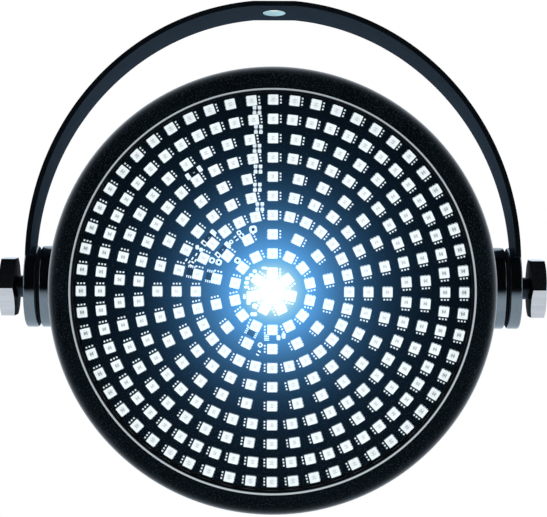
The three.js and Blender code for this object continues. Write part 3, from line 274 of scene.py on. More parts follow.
def prism(outline, low, high):
    """An outline of (x, z) points given depth along Y."""
    points = [(x, low, z) for x, z in outline] + [(x, high, z) for x, z in outline]
    return points, prism_faces(len(outline))


def strip(outer, inner, low, high):
    """A bar between two lines of (x, z) points, given depth along Y."""
    points = [(x, y, z) for pair in zip(outer, inner) for x, z in pair for y in (low, high)]
    around = (0, 1, 3, 2)
    faces = [around, tuple(len(points) - 4 + i for i in around)]
    for start in range(0, len(points) - 4, 4):
        for a, b in zip(around, around[1:] + around[:1]):
            faces.append((start + a, start + b, start + 4 + b, start + 4 + a))
    return points, faces


def rectangle(x, z, width, height, corner=0.0, steps=6):
    """The outline of a rectangle about (x, z), with round corners."""
    if corner == 0:
        signs = ((-1, -1), (1, -1), (1, 1), (-1, 1))
        return [(x + sx * width / 2, z + sz * height / 2) for sx, sz in signs]
    outline = []
    for quarter, (sx, sz) in enumerate(((1, 1), (-1, 1), (-1, -1), (1, -1))):
        for i in range(steps + 1):
            angle = (quarter + i / steps) * math.pi / 2
            outline.append((x + sx * (width / 2 - corner) + corner * math.cos(angle),
                            z + sz * (height / 2 - corner) + corner * math.sin(angle)))
    return outline


def slab(x, z, width, height, low, high, corner=0.0, steps=6):
    return prism(rectangle(x, z, width, height, corner, steps), low, high)


def rod(x, z, radius, low, high, segments=SMALL):
    """A round bar along Y."""
    turns = [math.tau * i / segments for i in range(segments)]
    return prism([(x + radius * math.cos(a), z + radius * math.sin(a)) for a in turns], low, high)


def softened(profile, radius, steps=4, closed=False):
    """The profile with its corners rounded, apart from those on the axis."""
    made = []
    count = len(profile)
    for i, corner in enumerate(profile):
        if corner[0] < TINY or (not closed and i in (0, count - 1)):
            made.append(corner)
            continue
        here = Vector(corner)
        before = Vector(profile[i - 1]) - here
        after = Vector(profile[(i + 1) % count]) - here
        reach = min(radius, before.length / 2.2, after.length / 2.2)
        start = here + before.normalized() * reach
        end = here + after.normalized() * reach
        for step in range(steps + 1):
            t = step / steps
            made.append(tuple(start * (1 - t) ** 2 + here * 2 * t * (1 - t) + end * t ** 2))
    return made


def arc(middle, radius, first, last, steps=10):
    """Points of a round in a profile, with angles in degrees."""
    turns = [math.radians(first + (last - first) * i / steps) for i in range(steps + 1)]
    return [(middle[0] + radius * math.cos(a), middle[1] + radius * math.sin(a)) for a in turns]


def round_places(count, radius, first):
    turns = [math.radians(first) + math.tau * i / count for i in range(count)]
    return [(radius * math.cos(a), radius * math.sin(a)) for a in turns]


def at(x, z, degrees=0):
    """A place on the head, turned anticlockwise as seen from the front."""
    return Matrix.Translation((x, 0, z)) @ Matrix.Rotation(-math.radians(degrees), 4, "Y")


class Shape:
    """Closed bodies gathered into one mesh, each with a finish."""

    def __init__(self, *bodies):
        self.points, self.faces, self.finishes = [], [], []
        for body in bodies:
            self.add(body)

    def add(self, body, finish=0, place=None):
        points, faces = body
        start = len(self.points)
        self.points += [place @ Vector(p) for p in points] if place else points
        self.faces += [[start + i for i in face] for face in faces]
        self.finishes += [finish] * len(faces)
        return self

    def add_at_both_ends(self, body):
        """Adds a body made about Y at both ends of the pivot axis."""
        for place in TO_SIDE.values():
            self.add(body, place=place)
        return self

    def mesh(self, name, finishes=()):
        mesh = bpy.data.meshes.new(name)
        mesh.from_pydata(self.points, [], self.faces)
        for finish in finishes:
            mesh.materials.append(finish)
        mesh.polygons.foreach_set("material_index", self.finishes)
        edit = bmesh.new()
        edit.from_mesh(mesh)
        bmesh.ops.recalc_face_normals(edit, faces=edit.faces)
        edit.to_mesh(mesh)
        edit.free()
        return mesh


def combined(mesh, tools, operation):
    """The mesh joined with, or cut by, a shape."""
    pair = [bpy.data.objects.new("work", mesh), bpy.data.objects.new("tool", tools.mesh("tool"))]
    for item in pair:
        bpy.context.scene.collection.objects.link(item)
    modifier = pair[0].modifiers.new("combine", "BOOLEAN")
    modifier.operation = operation
    modifier.solver = "EXACT"
    modifier.use_self = operation == "UNION"
    modifier.object = pair[1]
    graph = bpy.context.evaluated_depsgraph_get()
    result = bpy.data.meshes.new_from_object(pair[0].evaluated_get(graph))
    for item in pair:
        bpy.data.objects.remove(item)
    return result


def body_of(mesh):
    """The points and faces of a mesh."""
    faces = [tuple(polygon.vertices) for polygon in mesh.polygons]
    return [vertex.co.copy() for vertex in mesh.vertices], faces


def piece(name, mesh, body, nodes=(), place=HEAD, bevel=0.0):
    """Shows a mesh as a piece on a body, in place of the CAD nodes."""
    item = bpy.data.objects.new(name, mesh)
    bpy.context.scene.collection.objects.link(item)
    item.matrix_world = place
    mesh.polygons.foreach_set("use_smooth", [True] * len(mesh.polygons))
    mesh.set_sharp_from_angle(angle=SHARP)
    if bevel:
        edges = item.modifiers.new("edges", "BEVEL")
        edges.width = bevel
        edges.segments = 2
        edges.limit_method = "ANGLE"
        edges.angle_limit = SHARP
        edges.harden_normals = True
    else:
        shading = item.modifiers.new("shading", "WEIGHTED_NORMAL")
        shading.keep_sharp = True
    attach(item, body)
    if nodes:
        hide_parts(*nodes)


# Nodes of materials
def fill(made, inputs):
    """Links or sets the inputs of a node."""
    for key, value in inputs.items():
        if isinstance(value, bpy.types.NodeSocket):
            made.id_data.links.new(value, made.inputs[key])
        else:
            made.inputs[key].default_value = value


def node(tree, kind, inputs=None, **settings):
    made = tree.nodes.new(kind)
    for key, value in settings.items():
        setattr(made, key, value)
    fill(made, inputs or {})
    return made


def calc(tree, operation, first, second=None, clamp=False):
    inputs = {0: first} if second is None else {0: first, 1: second}
    return node(tree, "ShaderNodeMath", inputs, operation=operation, use_clamp=clamp).outputs[0]


def vectors(tree, operation, first, second=None):
    """The same for vectors. A length and a dot product are numbers."""
    inputs = {0: first}
    if second is not None:
        inputs["Scale" if operation == "SCALE" else 1] = second
    made = node(tree, "ShaderNodeVectorMath", inputs, operation=operation)
    return made.outputs["Value" if operation in ("LENGTH", "DOT_PRODUCT") else "Vector"]


def mapped(tree, value, low, high, to_low=0.0, to_high=1.0, **settings):
    """A value moved from one range to another, and kept inside it."""
    inputs = {"Value": value, "From Min": low, "From Max": high, "To Min": to_low, "To Max": to_high}
    return node(tree, "ShaderNodeMapRange", inputs, **settings).outputs[0]


def ramp(tree, factor, *stops):
    made = node(tree, "ShaderNodeValToRGB", {"Fac": factor})
    elements = made.color_ramp.elements
    while len(elements) < len(stops):
        elements.new(0.5)
    for element, (place, colour) in zip(elements, stops):
        element.position = place
        element.color = (*colour, 1)
    return made.outputs["Color"]


def painted(tree, share, own, colour):
    inputs = {0: share, 6: own, 7: (*colour, 1)}
    return node(tree, "ShaderNodeMix", inputs, data_type="RGBA").outputs[2]


def blended(tree, share, first, second):
    return node(tree, "ShaderNodeMixShader", {0: share, 1: first, 2: second}).outputs[0]


def noise(tree, place, scale, detail=2.0, roughness=0.5):
    inputs = {"Vector": place, "Scale": scale, "Detail": detail, "Roughness": roughness}
    return node(tree, "ShaderNodeTexNoise", inputs).outputs["Fac"]


def place_in(tree, kind="Object"):
    return node(tree, "ShaderNodeTexCoord").outputs[kind]


def along(tree, vector, axis):
    return node(tree, "ShaderNodeSeparateXYZ", {"Vector": vector}).outputs[axis]


def from_axis(tree):
    """The place seen along the head's axis, and its distance from that axis."""
    flat = vectors(tree, "MULTIPLY", place_in(tree), (1, 0, 1))
    return flat, vectors(tree, "LENGTH", flat)


def shader_of(made):
    return made.node_tree.nodes["Principled BSDF"]


# Materials
TINT = (0.7, 0.86, 1.0, 1)  # of gloss and sheen, from the bluish light of the photograph
SHEEN_LEFT = 0.12  # of the bezel's sheen on its skirt
GRAIN_DETAIL = 5.0
GRAIN_ROUGHNESS = 0.62
BROAD_GRAIN = 24  # times as broad as the fine grain
GRAIN_SPAN = (0.7, 1.3)  # of the sum of both grains, from dark to light
SPECKLE_SPAN = (0.54, 0.72)
FIXED = {"Sheen Roughness": 0.35, "Sheen Tint": TINT, "Coat Roughness": 0.2, "Coat IOR": 1.3}


def surface(name, dark, light, grain, rough, bump=0.0, depth=0.0001, metal=0.0, shine=0.5, coat=0.0,
            stretch=(1, 1, 1), speckle=None, sheen=0.0):
    """A grained surface. Its colour lies between dark and light, its roughness between the pair.
    A speckled one has fine lighter spots."""
    made = bpy.data.materials.new(name)
    made.use_nodes = True
    tree = made.node_tree
    place = place_in(tree)
    turned = node(tree, "ShaderNodeMapping", {"Vector": place, "Scale": stretch}).outputs["Vector"]
    fine = noise(tree, turned, grain, GRAIN_DETAIL, GRAIN_ROUGHNESS)
    both = calc(tree, "ADD", fine, noise(tree, turned, grain / BROAD_GRAIN))
    share = mapped(tree, both, *GRAIN_SPAN)
    colour = ramp(tree, share, (0.0, dark), (1.0, light))
    if speckle:
        spots = mapped(tree, noise(tree, place, grain, 1.0), *SPECKLE_SPAN)
        colour = painted(tree, spots, colour, speckle)
    inputs = {"Base Color": colour, "Roughness": mapped(tree, share, 0.0, 1.0, *rough), "Metallic": metal,
              "Specular IOR Level": shine, "Coat Weight": coat, "Sheen Weight": sheen, **FIXED}
    if metal == 0:
        inputs["Specular Tint"] = TINT
    if bump:
        relief = node(tree, "ShaderNodeBump", {"Height": fine, "Strength": bump, "Distance": depth})
        inputs["Normal"] = relief.outputs["Normal"]
    fill(shader_of(made), inputs)
    return made


def edged(made, colour, strength, power, fade=None):
    """Adds the pale sheen that a fine-grained surface shows where it turns away. It can fade along Y."""
    tree = made.node_tree
    facing = node(tree, "ShaderNodeLayerWeight", {"Blend": 0.5}).outputs["Facing"]
    share = calc(tree, "MULTIPLY", calc(tree, "POWER", facing, power), strength, clamp=True)
    if fade:
        left = mapped(tree, along(tree, place_in(tree), "Y"), *fade, 1.0, SHEEN_LEFT)
        share = calc(tree, "MULTIPLY", share, left)
    sheen = node(tree, "ShaderNodeBsdfSheen", {"Color": (*colour, 1), "Roughness": 1.0}).outputs[0]
    mixed = blended(tree, share, shader_of(made).outputs[0], sheen)
    fill(tree.nodes["Material Output"], {"Surface": mixed})
    return made


def ringed(made, start, full, colour):
    """Paints a colour on the surface from a distance of the middle outwards: the painted highlight of the
    window's chamfer.
    """
    tree = made.node_tree
    own = shader_of(made).inputs["Base Color"].links[0].from_socket
    share = mapped(tree, from_axis(tree)[1], start, full)
    fill(shader_of(made), {"Base Color": painted(tree, share, own, colour)})
    return made


# Painted light: the glow of the lit field, painted as emission on the board and on the parts on it
GLOW_REACH = 0.011  # the glow falls to a third in this distance
GLOW_SOFT = 0.025  # and more slowly within this distance of the middle
GLOW_COLOUR = (1.85, 6.9, 15.0)
GLOW_MOST = (1, 1, 0.9)
CORE_REACH = 0.0078
CORE_COLOUR = (1.6, 1.0, 0.4)
OWN_FULL = 0.045  # the surface's own light is full within this distance
OWN_LEAST = 0.093


def fall(tree, distance, reach, power):
    """What is left of a light at a distance."""
    share = calc(tree, "POWER", calc(tree, "DIVIDE", distance, reach), power)
    return calc(tree, "EXPONENT", calc(tree, "MULTIPLY", share, -1.0))


def lit(made, own, edge=1.0, strength=1.0, sideways_only=False):
    """Paints, as emission, the light that falls from the middle of the field and a light of the surface's
    own that sinks to a share, edge, at the rim of the field or only at its left and right. Both are painted
    light on the board, its tin and its parts, which are no lamps."""
    tree = made.node_tree
    flat, radius = from_axis(tree)
    away = vectors(tree, "LENGTH", vectors(tree, "ADD", flat, (0, GLOW_SOFT, 0)))
    glow = vectors(tree, "SCALE", GLOW_COLOUR, fall(tree, away, GLOW_REACH, 1.0))
    core = vectors(tree, "SCALE", CORE_COLOUR, fall(tree, radius, CORE_REACH, 2.0))
    total = vectors(tree, "ADD", vectors(tree, "MINIMUM", glow, GLOW_MOST), core)
    distance = calc(tree, "ABSOLUTE", along(tree, flat, "X")) if sideways_only else radius
    own_light = vectors(tree, "SCALE", own, mapped(tree, distance, OWN_FULL, OWN_LEAST, 1.0, edge))
    total = vectors(tree, "ADD", total, own_light)
    fill(shader_of(made), {"Emission Color": total, "Emission Strength": strength})
    return made


# Each surface: dark and light colour, grain to the metre, roughness, and how strong and deep its relief is
bezel_black = edged(surface("bezel_black", (0.0004, 0.0016, 0.0026), (0.002, 0.005, 0.007), 1500,
                            (0.4, 0.55), 0.4, 0.0002, shine=0.04, speckle=(0.02, 0.03, 0.04), sheen=0.3),
                    (0.84, 0.92, 1.0), 1.5, 2.6,
                    (FRONT + BEZEL_EDGE_RADIUS, FRONT + 1.5 * BEZEL_EDGE_RADIUS))
shell_black = surface("shell_black", (0.004, 0.005, 0.007), (0.011, 0.013, 0.016), 1700, (0.42, 0.6), 0.6,
                      0.00025, shine=0.3, speckle=(0.03, 0.034, 0.04))
# The window's wall and chamfer: a pale ring is painted on the chamfer as the highlight it catches from the
# lit field.
rim_highlight = ringed(surface("rim_highlight", (0.0008, 0.0018, 0.003), (0.0035, 0.006, 0.009), 1500,
                            (0.3, 0.42), 0.1, shine=0.06),
                    WINDOW_RADIUS + 0.0010, WINDOW_RADIUS + 0.0013, (0.66, 0.72, 0.74))
yoke_black = edged(surface("yoke_black", (0.002, 0.003, 0.004), (0.005, 0.007, 0.009), 2200, (0.34, 0.46),
                           0.25, 0.00012, shine=0.02), (0.058, 0.105, 0.165), 1.0, 1.0)
disc_black = surface("disc_black", (0.18, 0.2, 0.21), (0.26, 0.28, 0.29), 1200, (0.1, 0.18), 0.1, metal=1.0)
rubber = surface("rubber", (0.004, 0.004, 0.005), (0.012, 0.012, 0.013), 2500, (0.7, 0.85), 0.5, 0.0002,
                 shine=0.2)
chrome = surface("chrome", (0.6, 0.54, 0.52), (0.78, 0.7, 0.66), 420, (0.07, 0.16), 0.03, metal=1.0,
                 stretch=(0.1, 1, 1))
# The chrome knob's inner end, facing the yoke's disc, is painted matte black as the shade that falls there.
end_painted_shade = surface("end_painted_shade", (0.002, 0.002, 0.003), (0.006, 0.006, 0.008), 1500, (0.5, 0.6), 0.1,
                    shine=0.02)
collar_black = surface("collar_black", (0.006, 0.005, 0.01), (0.014, 0.012, 0.022), 1500, (0.25, 0.4), 0.1)
steel = surface("steel", (0.42, 0.43, 0.44), (0.62, 0.63, 0.64), 1300, (0.24, 0.4), 0.15, metal=1.0)
# The bolt hole's bare wall, painted pale blue-white as the highlight it catches.
bare_steel_highlight = surface("bare_steel_highlight", (0.6, 0.9, 1.0), (0.7, 0.98, 1.0), 1300, (0.3, 0.45), 0.1)
brass = surface("brass", (0.5, 0.36, 0.12), (0.66, 0.5, 0.2), 1300, (0.25, 0.4), 0.12, metal=1.0)
socket_black = surface("socket_black", (0.006, 0.006, 0.007), (0.014, 0.014, 0.016), 1800, (0.28, 0.42),
                       0.2)
panel_black = surface("panel_black", (0.012, 0.013, 0.015), (0.024, 0.026, 0.029), 2600, (0.45, 0.6), 0.35)
button_grey = surface("button_grey", (0.05, 0.053, 0.057), (0.085, 0.09, 0.095), 2200, (0.5, 0.65), 0.3)
window_red = surface("window_red", (0.02, 0.001, 0.001), (0.035, 0.002, 0.002), 600, (0.06, 0.1), coat=0.3)
mark_white = surface("mark_white", (0.5, 0.51, 0.52), (0.66, 0.67, 0.68), 3000, (0.5, 0.6))
green_board = surface("green_board", (0.008, 0.05, 0.022), (0.016, 0.085, 0.038), 500, (0.32, 0.45), 0.1)
copper = surface("copper", (0.45, 0.3, 0.05), (0.62, 0.44, 0.09), 700, (0.4, 0.6), 0.3, stretch=(1, 6, 1))
blue_sleeve = surface("blue_sleeve", (0.008, 0.016, 0.05), (0.014, 0.03, 0.09), 600, (0.3, 0.45), 0.1)
aluminium = surface("aluminium", (0.52, 0.53, 0.54), (0.7, 0.71, 0.72), 900, (0.3, 0.45), 0.2, metal=1.0,
                    stretch=(1, 0.1, 1))
module_black = surface("module_black", (0.01, 0.01, 0.01), (0.02, 0.02, 0.02), 1500, (0.5, 0.6), 0.2)
board_dark = lit(surface("board_dark", (0.0004, 0.0008, 0.0014), (0.0014, 0.0024, 0.004), 900, (0.35, 0.5),
                         0.1, shine=0.02), (0.0014, 0.0034, 0.0056))
package_white = lit(surface("package_white", (0.72, 0.78, 0.8), (0.84, 0.9, 0.91), 1400, (0.4, 0.55), 0.1),
                    (0.58, 0.66, 0.68), 1.2)
package_side = lit(surface("package_side", (0.3, 0.34, 0.36), (0.42, 0.46, 0.48), 1400, (0.4, 0.55), 0.1),
                   (0.05, 0.06, 0.065), 0.9)
well_white = lit(surface("well_white", (0.62, 0.67, 0.69), (0.8, 0.85, 0.86), 1400, (0.2, 0.3)),
                 (0.6, 0.64, 0.65), 0.85)
die_grey = lit(surface("die_grey", (0.1, 0.1, 0.1), (0.16, 0.16, 0.16), 2500, (0.3, 0.4)),
               (0.62, 0.62, 0.62), 0.05, sideways_only=True)
tin = lit(surface("tin", (0.66, 0.74, 0.78), (0.8, 0.88, 0.92), 2600, (0.25, 0.4), 0.3),
          (0.56, 0.64, 0.67), 0.8)
chip_dark = lit(surface("chip_dark", (0.003, 0.005, 0.008), (0.009, 0.012, 0.017), 2200, (0.4, 0.5), 0.2,
                        shine=0.15), (0.0, 0.0, 0.0), strength=0.5)
chip_grey = lit(surface("chip_grey", (0.3, 0.36, 0.38), (0.42, 0.48, 0.5), 2200, (0.4, 0.5), 0.2),
                (0.16, 0.2, 0.22))
digit_red = surface("digit_red", (0.6, 0.02, 0.01), (0.8, 0.03, 0.02), 900, (0.3, 0.4))
fill(shader_of(digit_red), {"Emission Color": (1, 0.03, 0.015, 1), "Emission Strength": 0.8})
clear = surface("clear", (0.004, 0.005, 0.006), (0.008, 0.01, 0.012), 300, (0.03, 0.06), shine=0.3)
fill(shader_of(clear), {"Alpha": 0.06})

# The camera, where the photograph was taken from
CAMERA_DISTANCE = 1.0
CAMERA_ACROSS = 0.00508
CAMERA_BELOW = math.radians(7.309)
CAMERA_PITCH = math.radians(8.108)
CAMERA_YAW = math.radians(-0.279)
CAMERA_ROLL = math.radians(0.288)
CAMERA_LENS = 135.86
CAMERA_SENSOR = 36


def make_camera():
    camera = bpy.data.cameras.new("camera")
    camera.lens = CAMERA_LENS
    camera.sensor_width = CAMERA_SENSOR
    camera.clip_start = 0.01
    viewer = bpy.data.objects.new("camera", camera)
    bpy.context.scene.collection.objects.link(viewer)
    ahead = Vector((math.sin(CAMERA_YAW) * math.cos(CAMERA_PITCH),
                    math.cos(CAMERA_YAW) * math.cos(CAMERA_PITCH), math.sin(CAMERA_PITCH)))
    level = Vector((math.cos(CAMERA_YAW), -math.sin(CAMERA_YAW), 0))
    right = level * math.cos(CAMERA_ROLL) + level.cross(ahead) * math.sin(CAMERA_ROLL)
    turn = Matrix((right, right.cross(ahead), -ahead)).transposed().to_4x4()
    place = (PIVOT.x + CAMERA_ACROSS, PIVOT.y - CAMERA_DISTANCE * math.cos(CAMERA_BELOW),
             PIVOT.z - CAMERA_DISTANCE * math.sin(CAMERA_BELOW))
    viewer.matrix_world = Matrix.Translation(place) @ turn
    bpy.context.scene.camera = viewer


# Studio: a pale floor, soft lamps, and a white surround with a dark part high in front
FLOOR_DROP = 0.05  # from the lowest point of the hanging light
FLOOR_SIZE = 40.0
FLOOR_LIFT = 0.6  # keeps the floor white in the picture
FLOOR_MOTTLE = 3.0
DARK_TOWARDS = (0, -0.707, 0.707)
DARK_EDGE = 0.26  # cosines of the angles at which the dark part begins and is full
DARK_CORE = 0.47
DARK = (0.002, 0.003, 0.005)
CARD_START = -0.12  # in front of the light, where gloss sees the floor's dark card begin
CARD_FULL = -0.6
SURROUND = (0.72, 0.86, 1.0)
LIGHTING = (0.93, 0.96, 1.0, 1)
LIGHTING_STRENGTH = 0.5
STRAIGHT = ("Is Camera Ray", "Is Transmission Ray")
LAMPS = {"key": ((-1.0, -0.7, 1.0), 9), "fill": ((1.3, -0.4, 0.5), 5), "back": ((0.4, 1.3, 0.9), 8)}
LAMP_SIZE = 0.9


def any_of(tree, *kinds):
    """One for rays of these kinds."""
    path = node(tree, "ShaderNodeLightPath")
    total = path.outputs[kinds[0]]
    for kind in kinds[1:]:
        total = calc(tree, "MAXIMUM", total, path.outputs[kind])
    return total


def light_from(tree, kind, **inputs):
    """The light of a background or of a glowing surface."""
    return node(tree, kind, inputs).outputs[0]


def make_world():
    world = bpy.data.worlds.new("studio")
    world.use_nodes = True
    tree = world.node_tree
    tree.nodes.clear()
    facing = vectors(tree, "DOT_PRODUCT", place_in(tree, "Generated"), DARK_TOWARDS)
    dark = mapped(tree, facing, DARK_EDGE, DARK_CORE, interpolation_type="SMOOTHSTEP")
    kind = "ShaderNodeBackground"
    mirrored = light_from(tree, kind, Color=ramp(tree, dark, (0.0, SURROUND), (1.0, DARK)))
    shown = light_from(tree, kind, Color=(1, 1, 1, 1))
    lighting = light_from(tree, kind, Color=LIGHTING, Strength=LIGHTING_STRENGTH)
    total = blended(tree, any_of(tree, "Is Glossy Ray"), lighting, mirrored)
    total = blended(tree, any_of(tree, *STRAIGHT), total, shown)
    node(tree, "ShaderNodeOutputWorld", {"Surface": total})
    bpy.context.scene.world = world


def floor_material():
    """Pale and mottled. Gloss sees a card in it that darkens towards the front."""
    pale = bpy.data.materials.new("pale_floor")
    pale.use_nodes = True
    tree = pale.node_tree
    tree.nodes.clear()
    place = place_in(tree)
    mottle = noise(tree, place, FLOOR_MOTTLE)
    colour = ramp(tree, mottle, (0.0, (0.78, 0.78, 0.79)), (1.0, (0.82, 0.82, 0.82)))
    matt = node(tree, "ShaderNodeBsdfDiffuse", {"Color": colour}).outputs[0]
    kind = "ShaderNodeEmission"
    lift = light_from(tree, kind, Strength=calc(tree, "MULTIPLY", any_of(tree, *STRAIGHT), FLOOR_LIFT))
    plain = node(tree, "ShaderNodeAddShader", {0: matt, 1: lift}).outputs[0]
    near = mapped(tree, along(tree, place, "Y"), CARD_FULL, CARD_START, interpolation_type="SMOOTHSTEP")
    card = light_from(tree, kind, Color=ramp(tree, near, (0.0, DARK), (1.0, SURROUND)))
    total = blended(tree, any_of(tree, "Is Glossy Ray"), plain, card)
    node(tree, "ShaderNodeOutputMaterial", {"Surface": total})
    return pale


def make_floor():
    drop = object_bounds()[0][2] - FLOOR_DROP
    half = FLOOR_SIZE / 2
    corners = [(-half, -half, drop), (half, -half, drop), (half, half, drop), (-half, half, drop)]
    mesh = bpy.data.meshes.new("floor")
    mesh.from_pydata(corners, [], [(0, 1, 2, 3)])
    mesh.materials.append(floor_material())
    floor = bpy.data.objects.new("floor", mesh)
    bpy.context.scene.collection.objects.link(floor)


def add_lamp(name, place, power):
    """A soft lamp that faces the middle of the head."""
    light = bpy.data.lights.new(name, "AREA")
    light.energy = power
    light.size = LAMP_SIZE
    lamp = bpy.data.objects.new(name, light)
    bpy.context.scene.collection.objects.link(lamp)
    lamp.location = place
    lamp.visible_glossy = False
    lamp.rotation_euler = (PIVOT - Vector(place)).to_track_quat("-Z", "Y").to_euler()


bpy.context.scene.view_settings.view_transform = "Standard"
make_camera()
make_world()
make_floor()
for name, (place, power) in LAMPS.items():
    add_lamp(name, place, power)


# Yoke and its discs
def yoke_side(reach, height, roof):
    """Half an oval from the right leg's foot over the flat top to the left one's."""
    start = math.asin((roof - YOKE_LEG) / height)
    turns = [start * i / YOKE_STEPS for i in range(YOKE_STEPS + 1)]
    points = [(reach, 0)] + [(reach * math.cos(a), YOKE_LEG + height * math.sin(a)) for a in turns]
    return points + [(-x, z) for x, z in reversed(points)]


def yoke_strap(outer, top):
    thick = YOKE_THICKNESS
    rise = (top - YOKE_LEG) / math.sqrt(1 - (YOKE_FLAT / 2 / outer) ** 2)
    half = max(p.y for p in corners_of("yoke", YOKE) if p.z > top - thick)
    inside = yoke_side(outer - thick, rise - thick, top - thick)
    return strip(yoke_side(outer, rise, top), inside, -half, half)


def make_yoke():
    _, high = span("yoke", YOKE)
    outer, radius, top = high.x, high.y, high.z
    face = sideways("friction_disc_right")[1] + CLEARANCE
    c = PIVOT_DISC_CHAMFER
    disc = softened([(0, face), (radius - c, face), (radius, face + c), (radius, outer - c),
                     (radius - c, outer), (0, outer)], SOFT)
    strap = Shape(yoke_strap(outer, top)).mesh("yoke_bar", [yoke_black, disc_black, bare_steel_highlight])
    whole = combined(strap, Shape().add_at_both_ends(lathe(disc, LARGE)), "UNION")
    stud = sideways("knob_stud_right")[2] + CLEARANCE
    holes = Shape().add_at_both_ends(lathe(ring(0, stud, face - OVERRUN, outer + OVERRUN), SMALL))
    bolt = ring(0, YOKE_HOLE_RADIUS, top - YOKE_THICKNESS - OVERRUN, top + OVERRUN)
    holes.add(lathe(bolt, MEDIUM), place=Matrix.Rotation(math.radians(90), 4, "X"))
    whole = combined(whole, holes, "DIFFERENCE")
    for polygon in whole.polygons:
        middle = polygon.center
        outwards = polygon.normal.dot(Vector((0, middle.y, middle.z)).normalized()) > RIM_FACING
        on_disc = abs(middle.x) > face - TINY and math.hypot(middle.y, middle.z) < radius + TINY
        # The bolt hole's wall takes the bare steel finish with its painted highlight.
        in_hole = middle.z > 0 and math.hypot(middle.x, middle.y) < YOKE_HOLE_RADIUS
        in_hole = in_hole and abs(polygon.normal.z) < HOLE_FACING
        polygon.material_index = 2 if in_hole else int(outwards and on_disc)
    piece("yoke_bar", whole, "yoke", ["yoke"], YOKE, bevel=0.0003)


def make_pivot_side(side):
    """The turned pieces on one side of the pivot axis."""
    bore = sideways(f"knob_stud_{side}")[2] + CLEARANCE
    knob_body = f"{side}_knob"
    for stem, inner, body, slot, material in (("friction_disc", bore, "yoke", "friction", rubber),
                                              ("washer", bore, "yoke", "screw", steel),
                                              ("knob_collar", bore, knob_body, "collar", collar_black),
                                              ("knob_stud", 0, knob_body, "screw", steel)):
        name = f"{stem}_{side}"
        near, far, radius = sideways(name)
        profile = softened(ring(inner, radius, near, far), FINE_SOFT, closed=inner > 0)
        shape = Shape().add(lathe(profile, MEDIUM), place=TO_SIDE[side])
        piece(f"{name}_fine", shape.mesh(name, [material]), body, [name], YOKE)


def knob_corners(node_name):
    """The corners' distance from the pivot axis, and the hexagon's outline."""
    corners = corners_of(node_name, YOKE)
    tip = max(corners, key=lambda p: (round(math.hypot(p.y, p.z), 5), -p.y))
    reach = math.hypot(tip.y, tip.z)
    turns = [math.atan2(tip.z, tip.y) + math.tau * i / KNOB_SIDES for i in range(KNOB_SIDES)]
    return reach, [(reach * math.cos(a), reach * math.sin(a)) for a in turns]


def make_knob(side):
    """A hexagonal nut with turned, chamfered ends, a dish outside and a blind hole for its stud."""
    name = f"knob_{side}"
    near, far, _ = sideways(name)
    reach, hexagon = knob_corners(name)
    sign = -1 if side == "left" else 1
    bar = [(sign * x, y, z) for x in (near, far) for y, z in hexagon], prism_faces(KNOB_SIDES)
    c = KNOB_CHAMFER
    flat = reach * math.cos(math.pi / KNOB_SIDES) + c / 2
    barrel = [(0, near), (flat, near), (reach + c, near + 2 * c), (reach + c, far - 2 * c), (flat, far),
              (0, far)]
    turned = Shape().add(lathe(barrel, LARGE), place=TO_SIDE[side])
    solid = combined(Shape(bar).mesh("hexagon", [chrome, end_painted_shade]), turned, "INTERSECT")
    floor = far - KNOB_DISH_DEPTH
    dish = [(0, floor), (KNOB_DISH_RADIUS - KNOB_DISH_DEPTH, floor), (KNOB_DISH_RADIUS, far + OVERRUN),
            (0, far + OVERRUN)]
    _, end, radius = sideways(f"knob_stud_{side}")
    hole = ring(0, radius + CLEARANCE, near - OVERRUN, end + CLEARANCE)
    tools = Shape().add(lathe(dish, MEDIUM), place=TO_SIDE[side])
    tools.add(lathe(hole, SMALL), place=TO_SIDE[side])
    solid = combined(solid, tools, "DIFFERENCE")
    # The inner end and its chamfer take the painted shade.
    for polygon in solid.polygons:
        polygon.material_index = int(abs(polygon.center.x) < near + 2 * c)
    piece(f"{name}_fine", solid, f"{side}_knob", [name], YOKE, bevel=0.00012)


make_yoke()
for side in ("left", "right"):
    make_pivot_side(side)
    make_knob(side)

# Bezel, lens and lit board
lens_low, lens_high = span("front_lens")
board_low, board_high = span("led_board")
PACKAGE_TOP = board_low.y
BOARD_BACK = board_high.y
BOARD_FRONT = BOARD_BACK - BOARD_THICKNESS
SCREW_PLACES = round_places(CASE_SCREWS, seen("case_screw_2")[1], CASE_SCREW_FIRST)


def make_bezel():
    r = BEZEL_EDGE_RADIUS
    rib = lens_high.x + CLEARANCE
    skirt = HEAD_RADIUS - BEZEL_WALL
    profile = [(WINDOW_RADIUS, LIP_BACK), (WINDOW_RADIUS, FRONT + WINDOW_CHAMFER),
               (WINDOW_RADIUS + WINDOW_CHAMFER, FRONT), *arc((HEAD_RADIUS - r, FRONT + r), r, -90, 0, 16),
               (HEAD_RADIUS, SEAM), (skirt, SEAM), (skirt, LIP_BACK + r / 2), (skirt - r / 2, LIP_BACK),
               (rib + RIB_THICKNESS, LIP_BACK), (rib + RIB_THICKNESS, BOARD_BACK), (rib, BOARD_BACK),
               (rib, LIP_BACK)]
    shape = Shape(lathe(profile, ROUND))
    for x, z in SCREW_PLACES:
        boss = ring(SCREW_HOLE_RADIUS, BOSS_RADIUS, LIP_BACK + TINY, BOARD_BACK)
        shape.add(lathe(boss, SMALL), place=at(x, z))
    mesh = shape.mesh("bezel", [bezel_black, rim_highlight])
    # The window's wall and chamfer take the finish with the painted highlight.
    for polygon in mesh.polygons:
        reach = math.hypot(polygon.center.x, polygon.center.z)
        in_window = reach < WINDOW_RADIUS + WINDOW_CHAMFER - TINY
        polygon.material_index = int(in_window and polygon.center.y < LIP_BACK)
    piece("bezel_ring", mesh, "head", ["front_bezel"])


